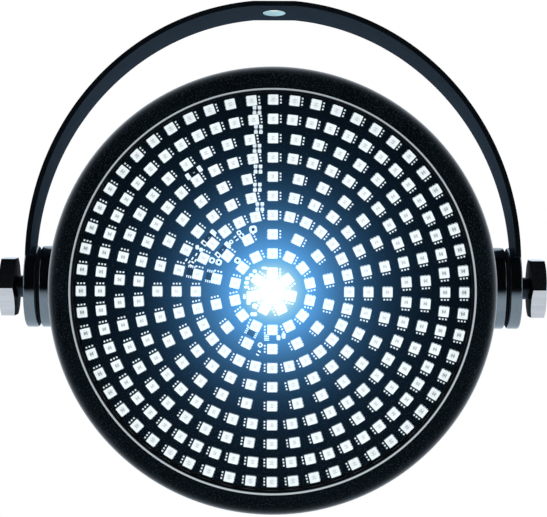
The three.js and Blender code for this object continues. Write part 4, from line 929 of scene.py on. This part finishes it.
def make_lens():
    disc = softened(ring(0, lens_high.x, lens_low.y, lens_high.y), FINE_SOFT)
    piece("lens_disc", Shape(lathe(disc, ROUND)).mesh("lens", [clear]), "head", ["front_lens"])


def package_places():
    """The turned place of every light package: X outwards, Z anticlockwise."""
    for ring_index, count in enumerate(PACKAGES_IN_RING):
        for i in range(count):
            turn = Matrix.Rotation(-(math.pi / 2 + math.tau * i / count), 4, "Y")
            yield ring_index, i, turn @ Matrix.Translation(((ring_index + 1) * RING_PITCH, 0, 0))


def package_body():
    """A square moulded body with a round well, from the board up. Returns also its first well face."""
    edge, top = PACKAGE_TOP + PACKAGE_EDGE, PACKAGE_TOP
    sizes = [(PACKAGE_SIZE, BOARD_FRONT), (PACKAGE_SIZE, edge), (PACKAGE_SIZE - 2 * PACKAGE_EDGE, top)]
    points = [(x, y, z) for size, y in sizes for x, z in rectangle(0, 0, size, size, PACKAGE_CORNER, 3)]
    count = len(points) // len(sizes)
    turns = [math.tau * (i + 0.5) / count for i in range(count)]
    for radius, y in ((WELL_RADIUS, top), (WELL_FLOOR_RADIUS, top + WELL_DEPTH)):
        points += [(radius * math.cos(a), y, radius * math.sin(a)) for a in turns]
    faces = [tuple(range(count))]
    for a in range(0, len(points) - count, count):
        b = a + count
        faces += [(a + i, a + (i + 1) % count, b + (i + 1) % count, b + i) for i in range(count)]
    return points, faces + [tuple(range(len(points) - count, len(points)))], len(faces) - count


# Small parts on the board, placed from the photograph: distances to the right and up from the
# middle, then the sizes or the turn that a kind needs
PAIRS = ((-0.0076, 0.0850), (-0.0069, 0.0761), (-0.0075, 0.0672), (-0.0070, 0.0575), (-0.0073, 0.0490),
         (-0.0061, 0.0399))
DIODES = ((-0.0370, 0.0557, 34, False), (-0.0300, 0.0252, 50, True), (-0.0234, 0.0196, 47, True))
CHIPS = ((-0.0384, 0.0092, -12), (-0.0295, 0.0071, -12), (-0.0098, -0.0192, 62))
RESISTORS = ((-0.0172, 0.0250, -52), (-0.0146, 0.0262, 38), (-0.0351, 0.0169, -30), (-0.0369, 0.0150, -30),
             (-0.0398, 0.0143, -35), (-0.0379, 0.0129, 60), (-0.0065, -0.0290, 60))
RING_PADS = ((-0.0195, 0.0233, 0.0019, 38), (-0.0158, 0.0276, 0.0022, 30), (-0.0092, 0.0292, 0.0036, 10),
             (-0.0165, 0.0146, 0.0029, 60), (-0.0253, 0.0137, 0.0029, 70), (-0.0285, 0.0146, 0.0028, 65),
             (-0.0057, -0.0252, 0.0022, 45))
PADS = ((-0.0336, 0.0195, 0.0017, 0.0020), (-0.0354, 0.0207, 0.0017, 0.0021),
        (-0.0039, 0.0111, 0.0025, 0.0012), (-0.0084, 0.0096, 0.0019, 0.0014),
        (-0.0100, 0.0077, 0.0022, 0.0015), (-0.0117, 0.0062, 0.0022, 0.0016),
        (-0.0122, 0.0041, 0.0021, 0.0016), (-0.0122, 0.0021, 0.0023, 0.0012),
        (-0.0132, -0.0024, 0.0012, 0.0023), (-0.0112, -0.0030, 0.0019, 0.0065),
        (-0.0084, -0.0068, 0.0022, 0.0022), (-0.0088, -0.0107, 0.0031, 0.0018),
        (0.0029, -0.0217, 0.0018, 0.0024), (0.0053, -0.0208, 0.0018, 0.0027),
        (-0.0027, -0.0205, 0.0024, 0.0005), (-0.0027, -0.0213, 0.0024, 0.0005),
        (-0.0027, -0.0221, 0.0024, 0.0005), (-0.0027, -0.0229, 0.0024, 0.0005))
PAIR_SPREAD = 0.00115  # from the middle of a pair to each of its parts
PAIR_PART = {"length": 0.0042, "width": 0.0017, "cap": 0.0016, "waist": 0.7, "height": 0.0006}
DIODE = {"length": 0.0085, "width": 0.0030, "cap": 0.0020, "waist": 0.88, "height": 0.0010}
DIODE_MARK = (0.0009, 0.0005, 0.00104)  # length, width and height
DIODE_RING = (0.0010, 0.0013)
RESISTOR = {"length": 0.0024, "width": 0.0014, "cap": 0.0007, "waist": 0.9, "height": 0.0006}
CHIP_LENGTH = 0.0036
CHIP_WIDTH = 0.0036
CHIP_HEIGHT = 0.0012
CHIP_CORNER = 0.0002
CHIP_PINS = 4
CHIP_PIN_PITCH = 0.00095
CHIP_PIN_WIDTH = 0.00055
CHIP_PIN_REACH = 0.0030
CHIP_PIN_HEIGHT = 0.0003
PAD_CORNER_SHARE = 0.35
PAD_HOLE_SHARE = 0.4
PAD_HOLE_CORNER_SHARE = 0.15
PADLESS = {(9, 2)}  # ring and place of the package that has no bare pads beside it
TIN, GREY_CHIP, DARK_CHIP = range(3)  # finishes of the small parts
FACE, WELL, DIE, FOOT = range(4)  # finishes of the packages


def raised(x, z, width, height, rise, corner=0.0):
    """A flat part that stands on the board."""
    return slab(x, z, width, height, BOARD_FRONT - rise, BOARD_FRONT, corner, 4)


def two_ended(shape, place, part, finish):
    """A small part along X: a body with a tinned cap at each end."""
    length, width, cap, rise = part["length"], part["width"], part["cap"], part["height"]
    shape.add(raised(0, 0, length - cap, width * part["waist"], rise), finish, place)
    for end in (-1, 1):
        shape.add(raised(end * (length - cap) / 2, 0, cap, width, rise + PAD_HEIGHT, cap / 6), TIN, place)


def add_diode(shape, place, has_ring):
    two_ended(shape, place, DIODE, DARK_CHIP)
    shape.add(raised(0, 0, *DIODE_MARK), GREY_CHIP, place)
    if has_ring:
        end = (DIODE["cap"] - DIODE["length"]) / 2
        shape.add(raised(end, 0, *DIODE_RING, DIODE["height"] + 2 * PAD_HEIGHT), DARK_CHIP, place)


def add_chip(shape, place):
    shape.add(raised(0, 0, CHIP_LENGTH, CHIP_WIDTH, CHIP_HEIGHT, CHIP_CORNER), DARK_CHIP, place)
    length = CHIP_PIN_REACH - CHIP_WIDTH / 2
    for pin in range(CHIP_PINS):
        x = (pin - (CHIP_PINS - 1) / 2) * CHIP_PIN_PITCH
        for end in (-1, 1):
            z = end * (CHIP_PIN_REACH + CHIP_WIDTH / 2) / 2
            shape.add(raised(x, z, CHIP_PIN_WIDTH, length, CHIP_PIN_HEIGHT), TIN, place)


def make_small_parts():
    parts = Shape()
    for x, z in PAIRS:
        for shift in (-PAIR_SPREAD, PAIR_SPREAD):
            two_ended(parts, at(x + shift, z, 90), PAIR_PART, GREY_CHIP)
    for x, z, turn, has_ring in DIODES:
        add_diode(parts, at(x, z, turn), has_ring)
    for x, z, turn in RESISTORS:
        two_ended(parts, at(x, z, turn), RESISTOR, DARK_CHIP)
    for x, z, size, turn in RING_PADS:
        middle = size * PAD_HOLE_SHARE
        parts.add(raised(0, 0, size, size, PAD_HEIGHT, size * PAD_CORNER_SHARE), TIN, at(x, z, turn))
        parts.add(raised(0, 0, middle, middle, 2 * PAD_HEIGHT, size * PAD_HOLE_CORNER_SHARE), DARK_CHIP,
                  at(x, z, turn))
    for x, z, width, height in PADS:
        parts.add(raised(x, z, width, height, PAD_HEIGHT, min(width, height) * PAD_CORNER_SHARE), TIN)
    for x, z, turn in CHIPS:
        add_chip(parts, at(x, z, turn))
    piece("board_parts", parts.mesh("board_parts", [tin, chip_grey, chip_dark]), "head")


def make_packages():
    bodies, metal = Shape(), Shape()
    points, faces, first_well = package_body()
    floor = PACKAGE_TOP + WELL_DEPTH
    sides = first_well - len(points) // 5
    for ring_index, index, place in package_places():
        start = len(bodies.faces)
        bodies.add((points, faces), FACE, place)
        bodies.finishes[start:start + sides] = [FOOT] * sides
        bodies.finishes[start + first_well:] = [WELL] * (len(faces) - first_well)
        for bar, height in DIE_BAR_HEIGHTS.items():
            die = slab(bar * DIE_BAR_PITCH, 0, DIE_BAR_WIDTH, height, floor - DIE_THICKNESS, floor + TINY)
            bodies.add(die, DIE, place)
        for row in (-1, 0, 1):
            x = row * LEAD_PITCH
            z = (PACKAGE_SIZE + LEAD_OUT - LEAD_ROOT) / 2
            metal.add(raised(x, z, LEAD_WIDTH, LEAD_OUT + LEAD_ROOT, LEAD_HEIGHT), 0, place)
            if (ring_index, index) not in PADLESS:
                metal.add(raised(x, -PAD_MIDDLE, PAD_LENGTH, PAD_LENGTH, PAD_HEIGHT, PAD_CORNER), 0, place)
    finishes = [package_white, well_white, die_grey, package_side]
    piece("light_packages", bodies.mesh("light_packages", finishes), "head")
    piece("package_leads", metal.mesh("package_leads", [tin]), "head")


def make_board():
    shape = Shape(lathe(softened(ring(0, board_high.x, BOARD_FRONT, BOARD_BACK), BOARD_EDGE), ROUND))
    piece("light_board", shape.mesh("light_board", [board_dark]), "head", ["led_board"])
    make_packages()
    make_small_parts()


make_bezel()
make_lens()
make_board()

# Rear shell
BACK = span("rear_shell")[1].y
BACK_INSIDE = BACK - SHELL_WALL
OPEN = BACK + OVERRUN
SHELL_FRONT = SEAM + CLEARANCE
SHELL_RADIUS = HEAD_RADIUS - SHELL_STEP
SHELL_BACK_RADIUS = SHELL_RADIUS - SHELL_DRAFT
SHELL_FLAT = SHELL_BACK_RADIUS - SHELL_EDGE_RADIUS
SHELL_INSIDE = SHELL_BACK_RADIUS - SHELL_WALL
BOSS_FACE = sideways("friction_disc_right")[0] - CLEARANCE
BOSS_START = span("pivot_insert_right")[0].x + INSERT_FLANGE + CLEARANCE
DISC_RADIUS = span("yoke", YOKE)[1].y
PILLAR_FRONT = span("board_retainer")[1].y + CLEARANCE
HEAD_SEAT = span("case_screw_1")[1].y - SCREW_HEAD_HEIGHT - CLEARANCE
PANEL_X, PANEL_Z, PANEL_WIDTH, PANEL_HEIGHT = seen("control_panel")
panel_low, panel_high = span("control_panel")
inlet_low, inlet_high = span("power_inlet")
signal_low, signal_high = span("signal_in_socket")
RECESS_X = (signal_high.x + inlet_low.x) / 2
RECESS_Z = (signal_low.z + signal_high.z) / 2
RECESS_WIDTH = signal_high.x - inlet_low.x + 2 * RECESS_MARGIN
RECESS_HEIGHT = signal_high.z - signal_low.z + 2 * RECESS_MARGIN
BUTTON_NAMES = ["menu", "down", "up", "enter"]


def shell_tray():
    """A cup: its profile runs from the axis inside to the axis outside."""
    inner = SHELL_EDGE_RADIUS - SHELL_WALL
    tongue = HEAD_RADIUS - BEZEL_WALL - CLEARANCE
    thick, thin = SHELL_SLOPE
    profile = [(0, BACK_INSIDE), *arc((SHELL_INSIDE - inner, BACK_INSIDE - inner), inner, 90, 0, 8),
               (SHELL_INSIDE, SHELL_FRONT + thick), (tongue - TONGUE_THICKNESS, SHELL_FRONT + thin),
               (tongue - TONGUE_THICKNESS, SHELL_FRONT - TONGUE_LENGTH),
               (tongue, SHELL_FRONT - TONGUE_LENGTH), (tongue, SHELL_FRONT), (SHELL_RADIUS, SHELL_FRONT),
               *arc((SHELL_FLAT, BACK - SHELL_EDGE_RADIUS), SHELL_EDGE_RADIUS, 0, 90, 14), (0, BACK)]
    return Shape(lathe(profile, ROUND)).mesh("shell", [shell_black, disc_black])


def screw_pillars():
    """The pillars of the case screws, cut to the shell's outside."""
    pillars = Shape()
    for x, z in SCREW_PLACES:
        pillars.add(rod(x, z, POCKET_RADIUS + PILLAR_WALL, PILLAR_FRONT, BACK - PILLAR_END))
    r = SHELL_EDGE_RADIUS
    outside = [(0, SHELL_FRONT), (SHELL_BACK_RADIUS - CLEARANCE, SHELL_FRONT),
               *arc((SHELL_FLAT, BACK - r), r - CLEARANCE, 0, 90, 14), (0, BACK - CLEARANCE)]
    return body_of(combined(pillars.mesh("pillars"), Shape(lathe(outside, ROUND)), "INTERSECT"))


def shell_added():
    """Pivot discs with their insert bosses, screw pillars, and the ledges of the recess and the panel."""
    c = PIVOT_DISC_CHAMFER
    boss = [(0, BOSS_START), (INSERT_BOSS_RADIUS, BOSS_START), (INSERT_BOSS_RADIUS, SHELL_INSIDE - c),
            (DISC_RADIUS, SHELL_INSIDE - c), (DISC_RADIUS, BOSS_FACE - c), (DISC_RADIUS - c, BOSS_FACE),
            (0, BOSS_FACE)]
    added = Shape().add_at_both_ends(lathe(softened(boss, BOSS_SOFT), LARGE)).add(screw_pillars())
    added.add(slab(RECESS_X, RECESS_Z, RECESS_WIDTH + 2 * LEDGE, RECESS_HEIGHT + 2 * LEDGE,
                   BACK - RECESS_DEPTH - SHELL_WALL, BACK - EMBED, RECESS_CORNER + LEDGE))
    return added.add(slab(PANEL_X, PANEL_Z, PANEL_WIDTH + 2 * LEDGE, PANEL_HEIGHT + 2 * LEDGE,
                          BACK_INSIDE - LEDGE_DEPTH, BACK - EMBED, PANEL_CORNER))


def shell_cuts():
    """Seats of the panel and the sockets, vents, screw pockets and holes."""
    tools = Shape(slab(PANEL_X, PANEL_Z, PANEL_WIDTH + 2 * CLEARANCE, PANEL_HEIGHT + 2 * CLEARANCE,
                       panel_low.y - CLEARANCE, OPEN, PANEL_CORNER),
                  slab(RECESS_X, RECESS_Z, RECESS_WIDTH, RECESS_HEIGHT, BACK - RECESS_DEPTH, OPEN,
                       RECESS_CORNER))
    for i in range(VENT_SLOTS):
        x = (i - (VENT_SLOTS - 1) / 2) * VENT_PITCH
        height = math.sqrt((SHELL_FLAT - VENT_RIM) ** 2 - x ** 2) - VENT_BOTTOM
        tools.add(slab(x, VENT_BOTTOM + height / 2, VENT_WIDTH, height, BACK_INSIDE - OVERRUN, OPEN,
                       VENT_WIDTH / 2 - TINY))
    for x, z in SCREW_PLACES:
        tools.add(rod(x, z, POCKET_RADIUS, HEAD_SEAT, OPEN))
    for i in range(1, SOCKET_SCREWS + 1):
        x, z = seen(f"socket_screw_{i}")[:2]
        tools.add(rod(x, z, SCREW_HOLE_RADIUS, BACK - SOCKET_CUT, BACK + OVERRUN / 2))
    x, z = seen("microphone")[:2]
    return tools.add(rod(x, z, MICROPHONE_HOLE_RADIUS, BACK - MICROPHONE_CUT, OPEN))


def shell_deep_cuts():
    """What goes through the seats, the pivot discs and the pillars."""
    tools = Shape(slab(PANEL_X, PANEL_Z, PANEL_WIDTH - 2 * PANEL_END_LAND, PANEL_HEIGHT - 2 * PANEL_LAND,
                       BACK_INSIDE - PANEL_CUT, BACK))
    for name in ("signal_in_socket", "signal_out_socket"):
        x = seen(name)[0]
        tools.add(rod(x, RECESS_Z, SIGNAL_BODY_RADIUS + CLEARANCE, BACK - SOCKET_CUT, BACK, MEDIUM))
    wall = 2 * (INLET_WALL + CLEARANCE)
    tools.add(slab((inlet_low.x + inlet_high.x) / 2, RECESS_Z, INLET_CAVITY_WIDTH + wall,
                   INLET_CAVITY_HEIGHT + wall, BACK - SOCKET_CUT, BACK))
    step = BOSS_FACE - STUD_BORE_DEPTH
    low, high = BOSS_START - OVERRUN, BOSS_FACE + OVERRUN
    bore = [(0, low), (INSERT_BORE_RADIUS, low), (INSERT_BORE_RADIUS, step), (STUD_BORE_RADIUS, step),
            (STUD_BORE_RADIUS, high), (0, high)]
    tools.add_at_both_ends(lathe(bore, SMALL))
    for x, z in SCREW_PLACES:
        tools.add(rod(x, z, SCREW_HOLE_RADIUS, PILLAR_FRONT - OVERRUN, HEAD_SEAT + OVERRUN / 2))
    return tools


def make_shell():
    mesh = combined(shell_tray(), shell_added(), "UNION")
    mesh = combined(mesh, shell_cuts(), "DIFFERENCE")
    mesh = combined(mesh, shell_deep_cuts(), "DIFFERENCE")
    for polygon in mesh.polygons:
        middle = polygon.center
        outside = math.hypot(middle.x, middle.z) > SHELL_RADIUS + CLEARANCE
        on_disc = outside and math.hypot(middle.y, middle.z) < DISC_RADIUS + TINY
        polygon.material_index = int(on_disc)
    piece("shell_tray", mesh, "head", ["rear_shell"])


# Control panel
BUTTON_CAP_RADIUS = 0.0036
BUTTON_STEM_RADIUS = 0.002
BUTTON_FLANGE = 0.001
BUTTON_TOP = ((1, 0.0001), (0.8, 0), (0.7, 0.0002), (0, 0.0004))  # share of its radius, and depth
PANE_CORNER = 0.0004
SEGMENTS = {"top": (0, 1), "middle": (0, 0), "bottom": (0, -1), "upper_left": (-1, 0.5),
            "upper_right": (1, 0.5), "lower_left": (-1, -0.5), "lower_right": (1, -0.5)}
DIGITS = {"0": ["top", "bottom", "upper_left", "upper_right", "lower_left", "lower_right"],
          "1": ["upper_right", "lower_right"]}
DIGIT_WIDTH = 0.0042
DIGIT_HEIGHT = 0.0082
DIGIT_PITCH = 0.0076
DIGIT_THICKNESS = 0.0001
STROKE = 0.0009
STROKE_GAP_SHARE = 0.4
PRINT = 0.00002  # how far digits stand out of their face, and marks reach into it
MARK_HEIGHT = 0.00004
MARK_ABOVE = 0.0068  # from a button's middle
MARK_SIZE = 0.0011
MARK_BAR = (0.0028, 0.00035)
MARK_BAR_PITCH = 0.0008
ARROW_SHARE = 0.8


def make_panel():
    x, z, width, height = seen("display_window")
    window_low, window_high = span("display_window")
    face = panel_high.y
    plate = Shape(slab(PANEL_X, PANEL_Z, PANEL_WIDTH, PANEL_HEIGHT, panel_low.y, face,
                       PANEL_CORNER - CLEARANCE))
    low, high = panel_low.y - OVERRUN, face + OVERRUN
    tools = Shape(slab(x, z, width + 2 * CLEARANCE, height + 2 * CLEARANCE, low, high))
    for name in BUTTON_NAMES:
        bx, bz = seen(f"button_{name}")[:2]
        tools.add(rod(bx, bz, BUTTON_CAP_RADIUS + CLEARANCE, low, high, MEDIUM))
    mesh = combined(plate.mesh("panel", [panel_black]), tools, "DIFFERENCE")
    piece("panel_plate", mesh, "head", ["control_panel"], bevel=0.0002)
    pane = Shape(slab(x, z, width, height, window_low.y, window_high.y, PANE_CORNER))
    piece("display_pane", pane.mesh("display_pane", [window_red]), "head", ["display_window"],
          bevel=0.0002)
    make_digits(x, z, window_high.y)
    make_marks(face)


def stroke(x, z, segment):
    """The outline of one bar of a digit about (x, z)."""
    across, up = SEGMENTS[segment]
    x -= across * DIGIT_WIDTH / 2
    z += up * DIGIT_HEIGHT / 2
    upright = across != 0
    half = ((DIGIT_HEIGHT / 2 if upright else DIGIT_WIDTH) - STROKE * STROKE_GAP_SHARE) / 2
    thin = STROKE / 2
    line = [(-half + thin, -thin), (half - thin, -thin), (half, 0), (half - thin, thin),
            (-half + thin, thin), (-half, 0)]
    return [(x + (b if upright else a), z + (a if upright else b)) for a, b in line]


def make_digits(x, z, face):
    """Four lit digits, a hair proud of the window's face, read from behind the light."""
    shape = Shape()
    top = face + PRINT
    for place, digit in enumerate("0001"):
        for segment in DIGITS[digit]:
            outline = stroke(x - (place - 1.5) * DIGIT_PITCH, z, segment)
            shape.add(prism(outline, top - DIGIT_THICKNESS, top))
    piece("display_digits", shape.mesh("display_digits", [digit_red]), "head")


def make_marks(face):
    """Printed marks over the buttons: bars, an arrow down, an arrow up and a dot."""
    shape = Shape()
    low, high = face - PRINT, face + MARK_HEIGHT
    for name in BUTTON_NAMES:
        x, z = seen(f"button_{name}")[:2]
        z += MARK_ABOVE
        if name == "menu":
            for row in (-1, 0, 1):
                shape.add(slab(x, z + row * MARK_BAR_PITCH, *MARK_BAR, low, high))
        elif name == "enter":
            shape.add(rod(x, z, MARK_SIZE, low, high))
        else:
            tip = MARK_SIZE if name == "up" else -MARK_SIZE
            foot = z - tip * ARROW_SHARE
            shape.add(prism([(x - MARK_SIZE, foot), (x + MARK_SIZE, foot), (x, z + tip)], low, high))
    piece("panel_marks", shape.mesh("panel_marks", [mark_white]), "head")


def make_button(name):
    node_name = f"button_{name}"
    low, high = span(node_name)
    x, z, _, height = seen(node_name)
    face = panel_low.y - CLEARANCE
    back = face - BUTTON_FLANGE
    profile = [(0, low.y), (BUTTON_STEM_RADIUS, low.y), (BUTTON_STEM_RADIUS, back), (height / 2, back),
               (height / 2, face), (BUTTON_CAP_RADIUS, face)]
    profile += [(BUTTON_CAP_RADIUS * share, high.y - depth) for share, depth in BUTTON_TOP]
    shape = Shape().add(lathe(softened(profile, SOFT), MEDIUM), place=at(x, z))
    mesh = shape.mesh(node_name, [button_grey])
    piece(f"{node_name}_fine", mesh, f"{name}_button", [node_name])


make_shell()
make_panel()
for name in BUTTON_NAMES:
    make_button(name)


# Sockets
def sleeved(mesh, pins, floor, face, x):
    """Adds the sleeve with the holes for a plug's pins, and cuts the latch's room."""
    sleeve = Shape(rod(0, 0, SIGNAL_CUP_RADIUS - SLEEVE_GAP, floor - EMBED, face, MEDIUM))
    mesh = combined(mesh, sleeve, "UNION")
    tools = Shape()
    for px, pz in pins:
        tools.add(rod(px, pz, PIN_RADIUS + PIN_CLEARANCE, floor + PIN_HOLE_FLOOR, face + OVERRUN))
    latch_x, _, width, _ = seen("signal_out_latch")
    behind = span("signal_out_latch")[0].y - LATCH_ROOM
    tools.add(slab(latch_x - x, SIGNAL_CUP_RADIUS + LATCH_HEIGHT / 2, width + 2 * CLEARANCE,
                   LATCH_HEIGHT + 2 * CLEARANCE, behind, face + OVERRUN))
    return combined(mesh, tools, "DIFFERENCE")


def contact(has_pins, floor, face):
    """The profile of a pin, or of the tube that takes one."""
    if has_pins:
        return softened(ring(0, PIN_RADIUS, floor - EMBED, face - PIN_RECESS), PIN_TIP)
    return ring(PIN_RADIUS - PIN_TUBE_WALL, PIN_RADIUS, floor + PIN_TUBE_FLOOR, face - PIN_TUBE_RECESS)


def make_signal(name, has_pins):
    low, high = span(name)
    x, z, width, height = seen(name)
    face = high.y
    floor = face - SIGNAL_CUP_DEPTH
    flange = Shape(slab(0, 0, width, height, face - SOCKET_FLANGE, face, SIGNAL_FLANGE_CORNER))
    body = Shape(rod(0, 0, SIGNAL_BODY_RADIUS, low.y, face - SOCKET_FLANGE / 2, MEDIUM))
    mesh = combined(flange.mesh(name, [socket_black, steel]), body, "UNION")
    tools = Shape(rod(0, 0, SIGNAL_CUP_RADIUS, floor, face + OVERRUN, MEDIUM))
    for end in (-1, 1):
        tools.add(rod(end * (width / 2 - SIGNAL_SCREW_EDGE), -end * (height / 2 - SIGNAL_SCREW_EDGE),
                      SCREW_HOLE_RADIUS, face - SOCKET_FLANGE - OVERRUN, face + OVERRUN))
    mesh = combined(mesh, tools, "DIFFERENCE")
    pins = round_places(PINS, PIN_CIRCLE, -90)
    if not has_pins:
        mesh = sleeved(mesh, pins, floor, face, x)
    place = HEAD @ Matrix.Translation((x, 0, z))
    piece(f"{name}_fine", mesh, "head", [name], place, bevel=0.00025)
    contacts = Shape()
    for px, pz in pins:
        contacts.add(lathe(contact(has_pins, floor, face), SMALL), place=at(px, pz))
    piece(f"{name}_contacts", contacts.mesh("contacts", [steel]), "head", place=place)


LATCH_SHARE = 0.8  # of its height, from the top
LATCH_CORNER = 0.0006
LATCH_RIB_PITCH = 0.0014
LATCH_RIB_WIDTH = 0.0005
LATCH_RIB_SHARE = 0.6
LATCH_RIB_DEPTH = 0.0002
LATCH_RIB_PROUD = 0.00001


def make_latch():
    low, high = span("signal_out_latch")
    x, z, width, height = seen("signal_out_latch")
    z += height * (1 - LATCH_SHARE) / 2
    shape = Shape(slab(x, z, width, height * LATCH_SHARE, low.y, high.y, LATCH_CORNER))
    for row in (-1, 0, 1):
        shape.add(slab(x + row * LATCH_RIB_PITCH, z, LATCH_RIB_WIDTH, height * LATCH_RIB_SHARE,
                       high.y - LATCH_RIB_DEPTH, high.y + LATCH_RIB_PROUD))
    mesh = shape.mesh("latch", [button_grey])
    piece("latch_tab", mesh, "latch", ["signal_out_latch"], bevel=0.0002)


def make_inlet():
    low, high = span("power_inlet")
    x, z, width, height = seen("power_inlet")
    face = high.y
    floor = face - INLET_CAVITY_DEPTH
    flange = Shape(slab(0, 0, width, height, face - SOCKET_FLANGE, face, INLET_FLANGE_CORNER))
    body = Shape(slab(0, 0, INLET_CAVITY_WIDTH + 2 * INLET_WALL, INLET_CAVITY_HEIGHT + 2 * INLET_WALL,
                      low.y, face - SOCKET_FLANGE / 2))
    mesh = combined(flange.mesh("power_inlet", [socket_black]), body, "UNION")
    w, h, c = INLET_CAVITY_WIDTH / 2, INLET_CAVITY_HEIGHT / 2, INLET_CUT_CORNER
    tools = Shape(prism([(-w, -h), (w, -h), (w, h - c), (w - c, h), (-w + c, h), (-w, h - c)], floor,
                        face + OVERRUN))
    screw = seen("socket_screw_6")[0] - x
    for end in (-1, 1):
        tools.add(rod(end * screw, 0, SCREW_HOLE_RADIUS, face - SOCKET_FLANGE - OVERRUN, face + OVERRUN))
    mesh = combined(mesh, tools, "DIFFERENCE")
    place = HEAD @ Matrix.Translation((x, 0, z))
    piece("power_inlet_fine", mesh, "head", ["power_inlet"], place, bevel=0.0004)
    blades = Shape()
    for row in (-1, 0, 1):
        blades.add(slab(row * BLADE_SPREAD, -BLADE_RAISE if row else BLADE_RAISE, BLADE_WIDTH, BLADE_HEIGHT,
                        floor - EMBED, face - BLADE_RECESS, BLADE_CORNER))
    piece("power_inlet_blades", blades.mesh("blades", [steel]), "head", place=place, bevel=0.0003)


make_signal("signal_in_socket", True)
make_signal("signal_out_socket", False)
make_latch()
make_inlet()

# Screws
SCREW_TIP = (0.6, 0.0008)  # share of the thread's radius, and length
SCREW_TOP = ((1, 0), (1, 0.45), (0.75, 0.9), (0.35, 1), (0, 1))  # shares of the head's radius and height
CROSS_SHARE = 1.15
CROSS_WIDTH = 0.0006
CROSS_FLOOR_SHARE = 0.45


def screw_mesh(length):
    """A pan-head screw about Y with a cross recess. The underside of its head is at zero."""
    share, tip = SCREW_TIP
    profile = [(0, -length), (SCREW_RADIUS * share, -length), (SCREW_RADIUS, -length + tip),
               (SCREW_RADIUS, 0)]
    profile += [(SCREW_HEAD_RADIUS * out, SCREW_HEAD_HEIGHT * up) for out, up in SCREW_TOP]
    shape = Shape(lathe(softened(profile, SOFT), SMALL))
    a, b = SCREW_HEAD_RADIUS * CROSS_SHARE / 2, CROSS_WIDTH / 2
    cross = [(-a, -b), (-b, -b), (-b, -a), (b, -a), (b, -b), (a, -b), (a, b), (b, b), (b, a), (-b, a),
             (-b, b), (-a, b)]
    tools = Shape(prism(cross, SCREW_HEAD_HEIGHT * CROSS_FLOOR_SHARE, SCREW_HEAD_HEIGHT + OVERRUN))
    return combined(shape.mesh("screw", [steel]), tools, "DIFFERENCE")


def make_screws(stem, count):
    low, high = span(f"{stem}_1")
    mesh = screw_mesh(high.y - low.y - SCREW_HEAD_HEIGHT)
    for i in range(1, count + 1):
        x, z = seen(f"{stem}_{i}")[:2]
        twist = Matrix.Rotation(math.radians(random.uniform(0, 90)), 4, "Y")
        place = HEAD @ Matrix.Translation((x, high.y - SCREW_HEAD_HEIGHT, z)) @ twist
        piece(f"{stem}_{i}_fine", mesh.copy(), "head", [f"{stem}_{i}"], place)


random.seed(7)
make_screws("case_screw", CASE_SCREWS)
make_screws("socket_screw", SOCKET_SCREWS)

# Finishes of the CAD nodes that stay
STAYING = {
    "pivot_insert": brass, "lens_gasket": rubber, "board_retainer": aluminium,
    "display_module": module_black, "control_board": green_board, "driver_board": green_board,
    "transformer": copper, "mains_choke": copper,
    "capacitor": blue_sleeve, "driver_heatsink": aluminium, "microphone": aluminium, "driver_screw": steel,
    "control_screw": steel,
}
for name, item in frame["nodes"].items():
    for stem, finish in STAYING.items():
        if name.startswith(stem):
            item.data.materials.clear()
            item.data.materials.append(finish)

bpy.context.view_layer.update()
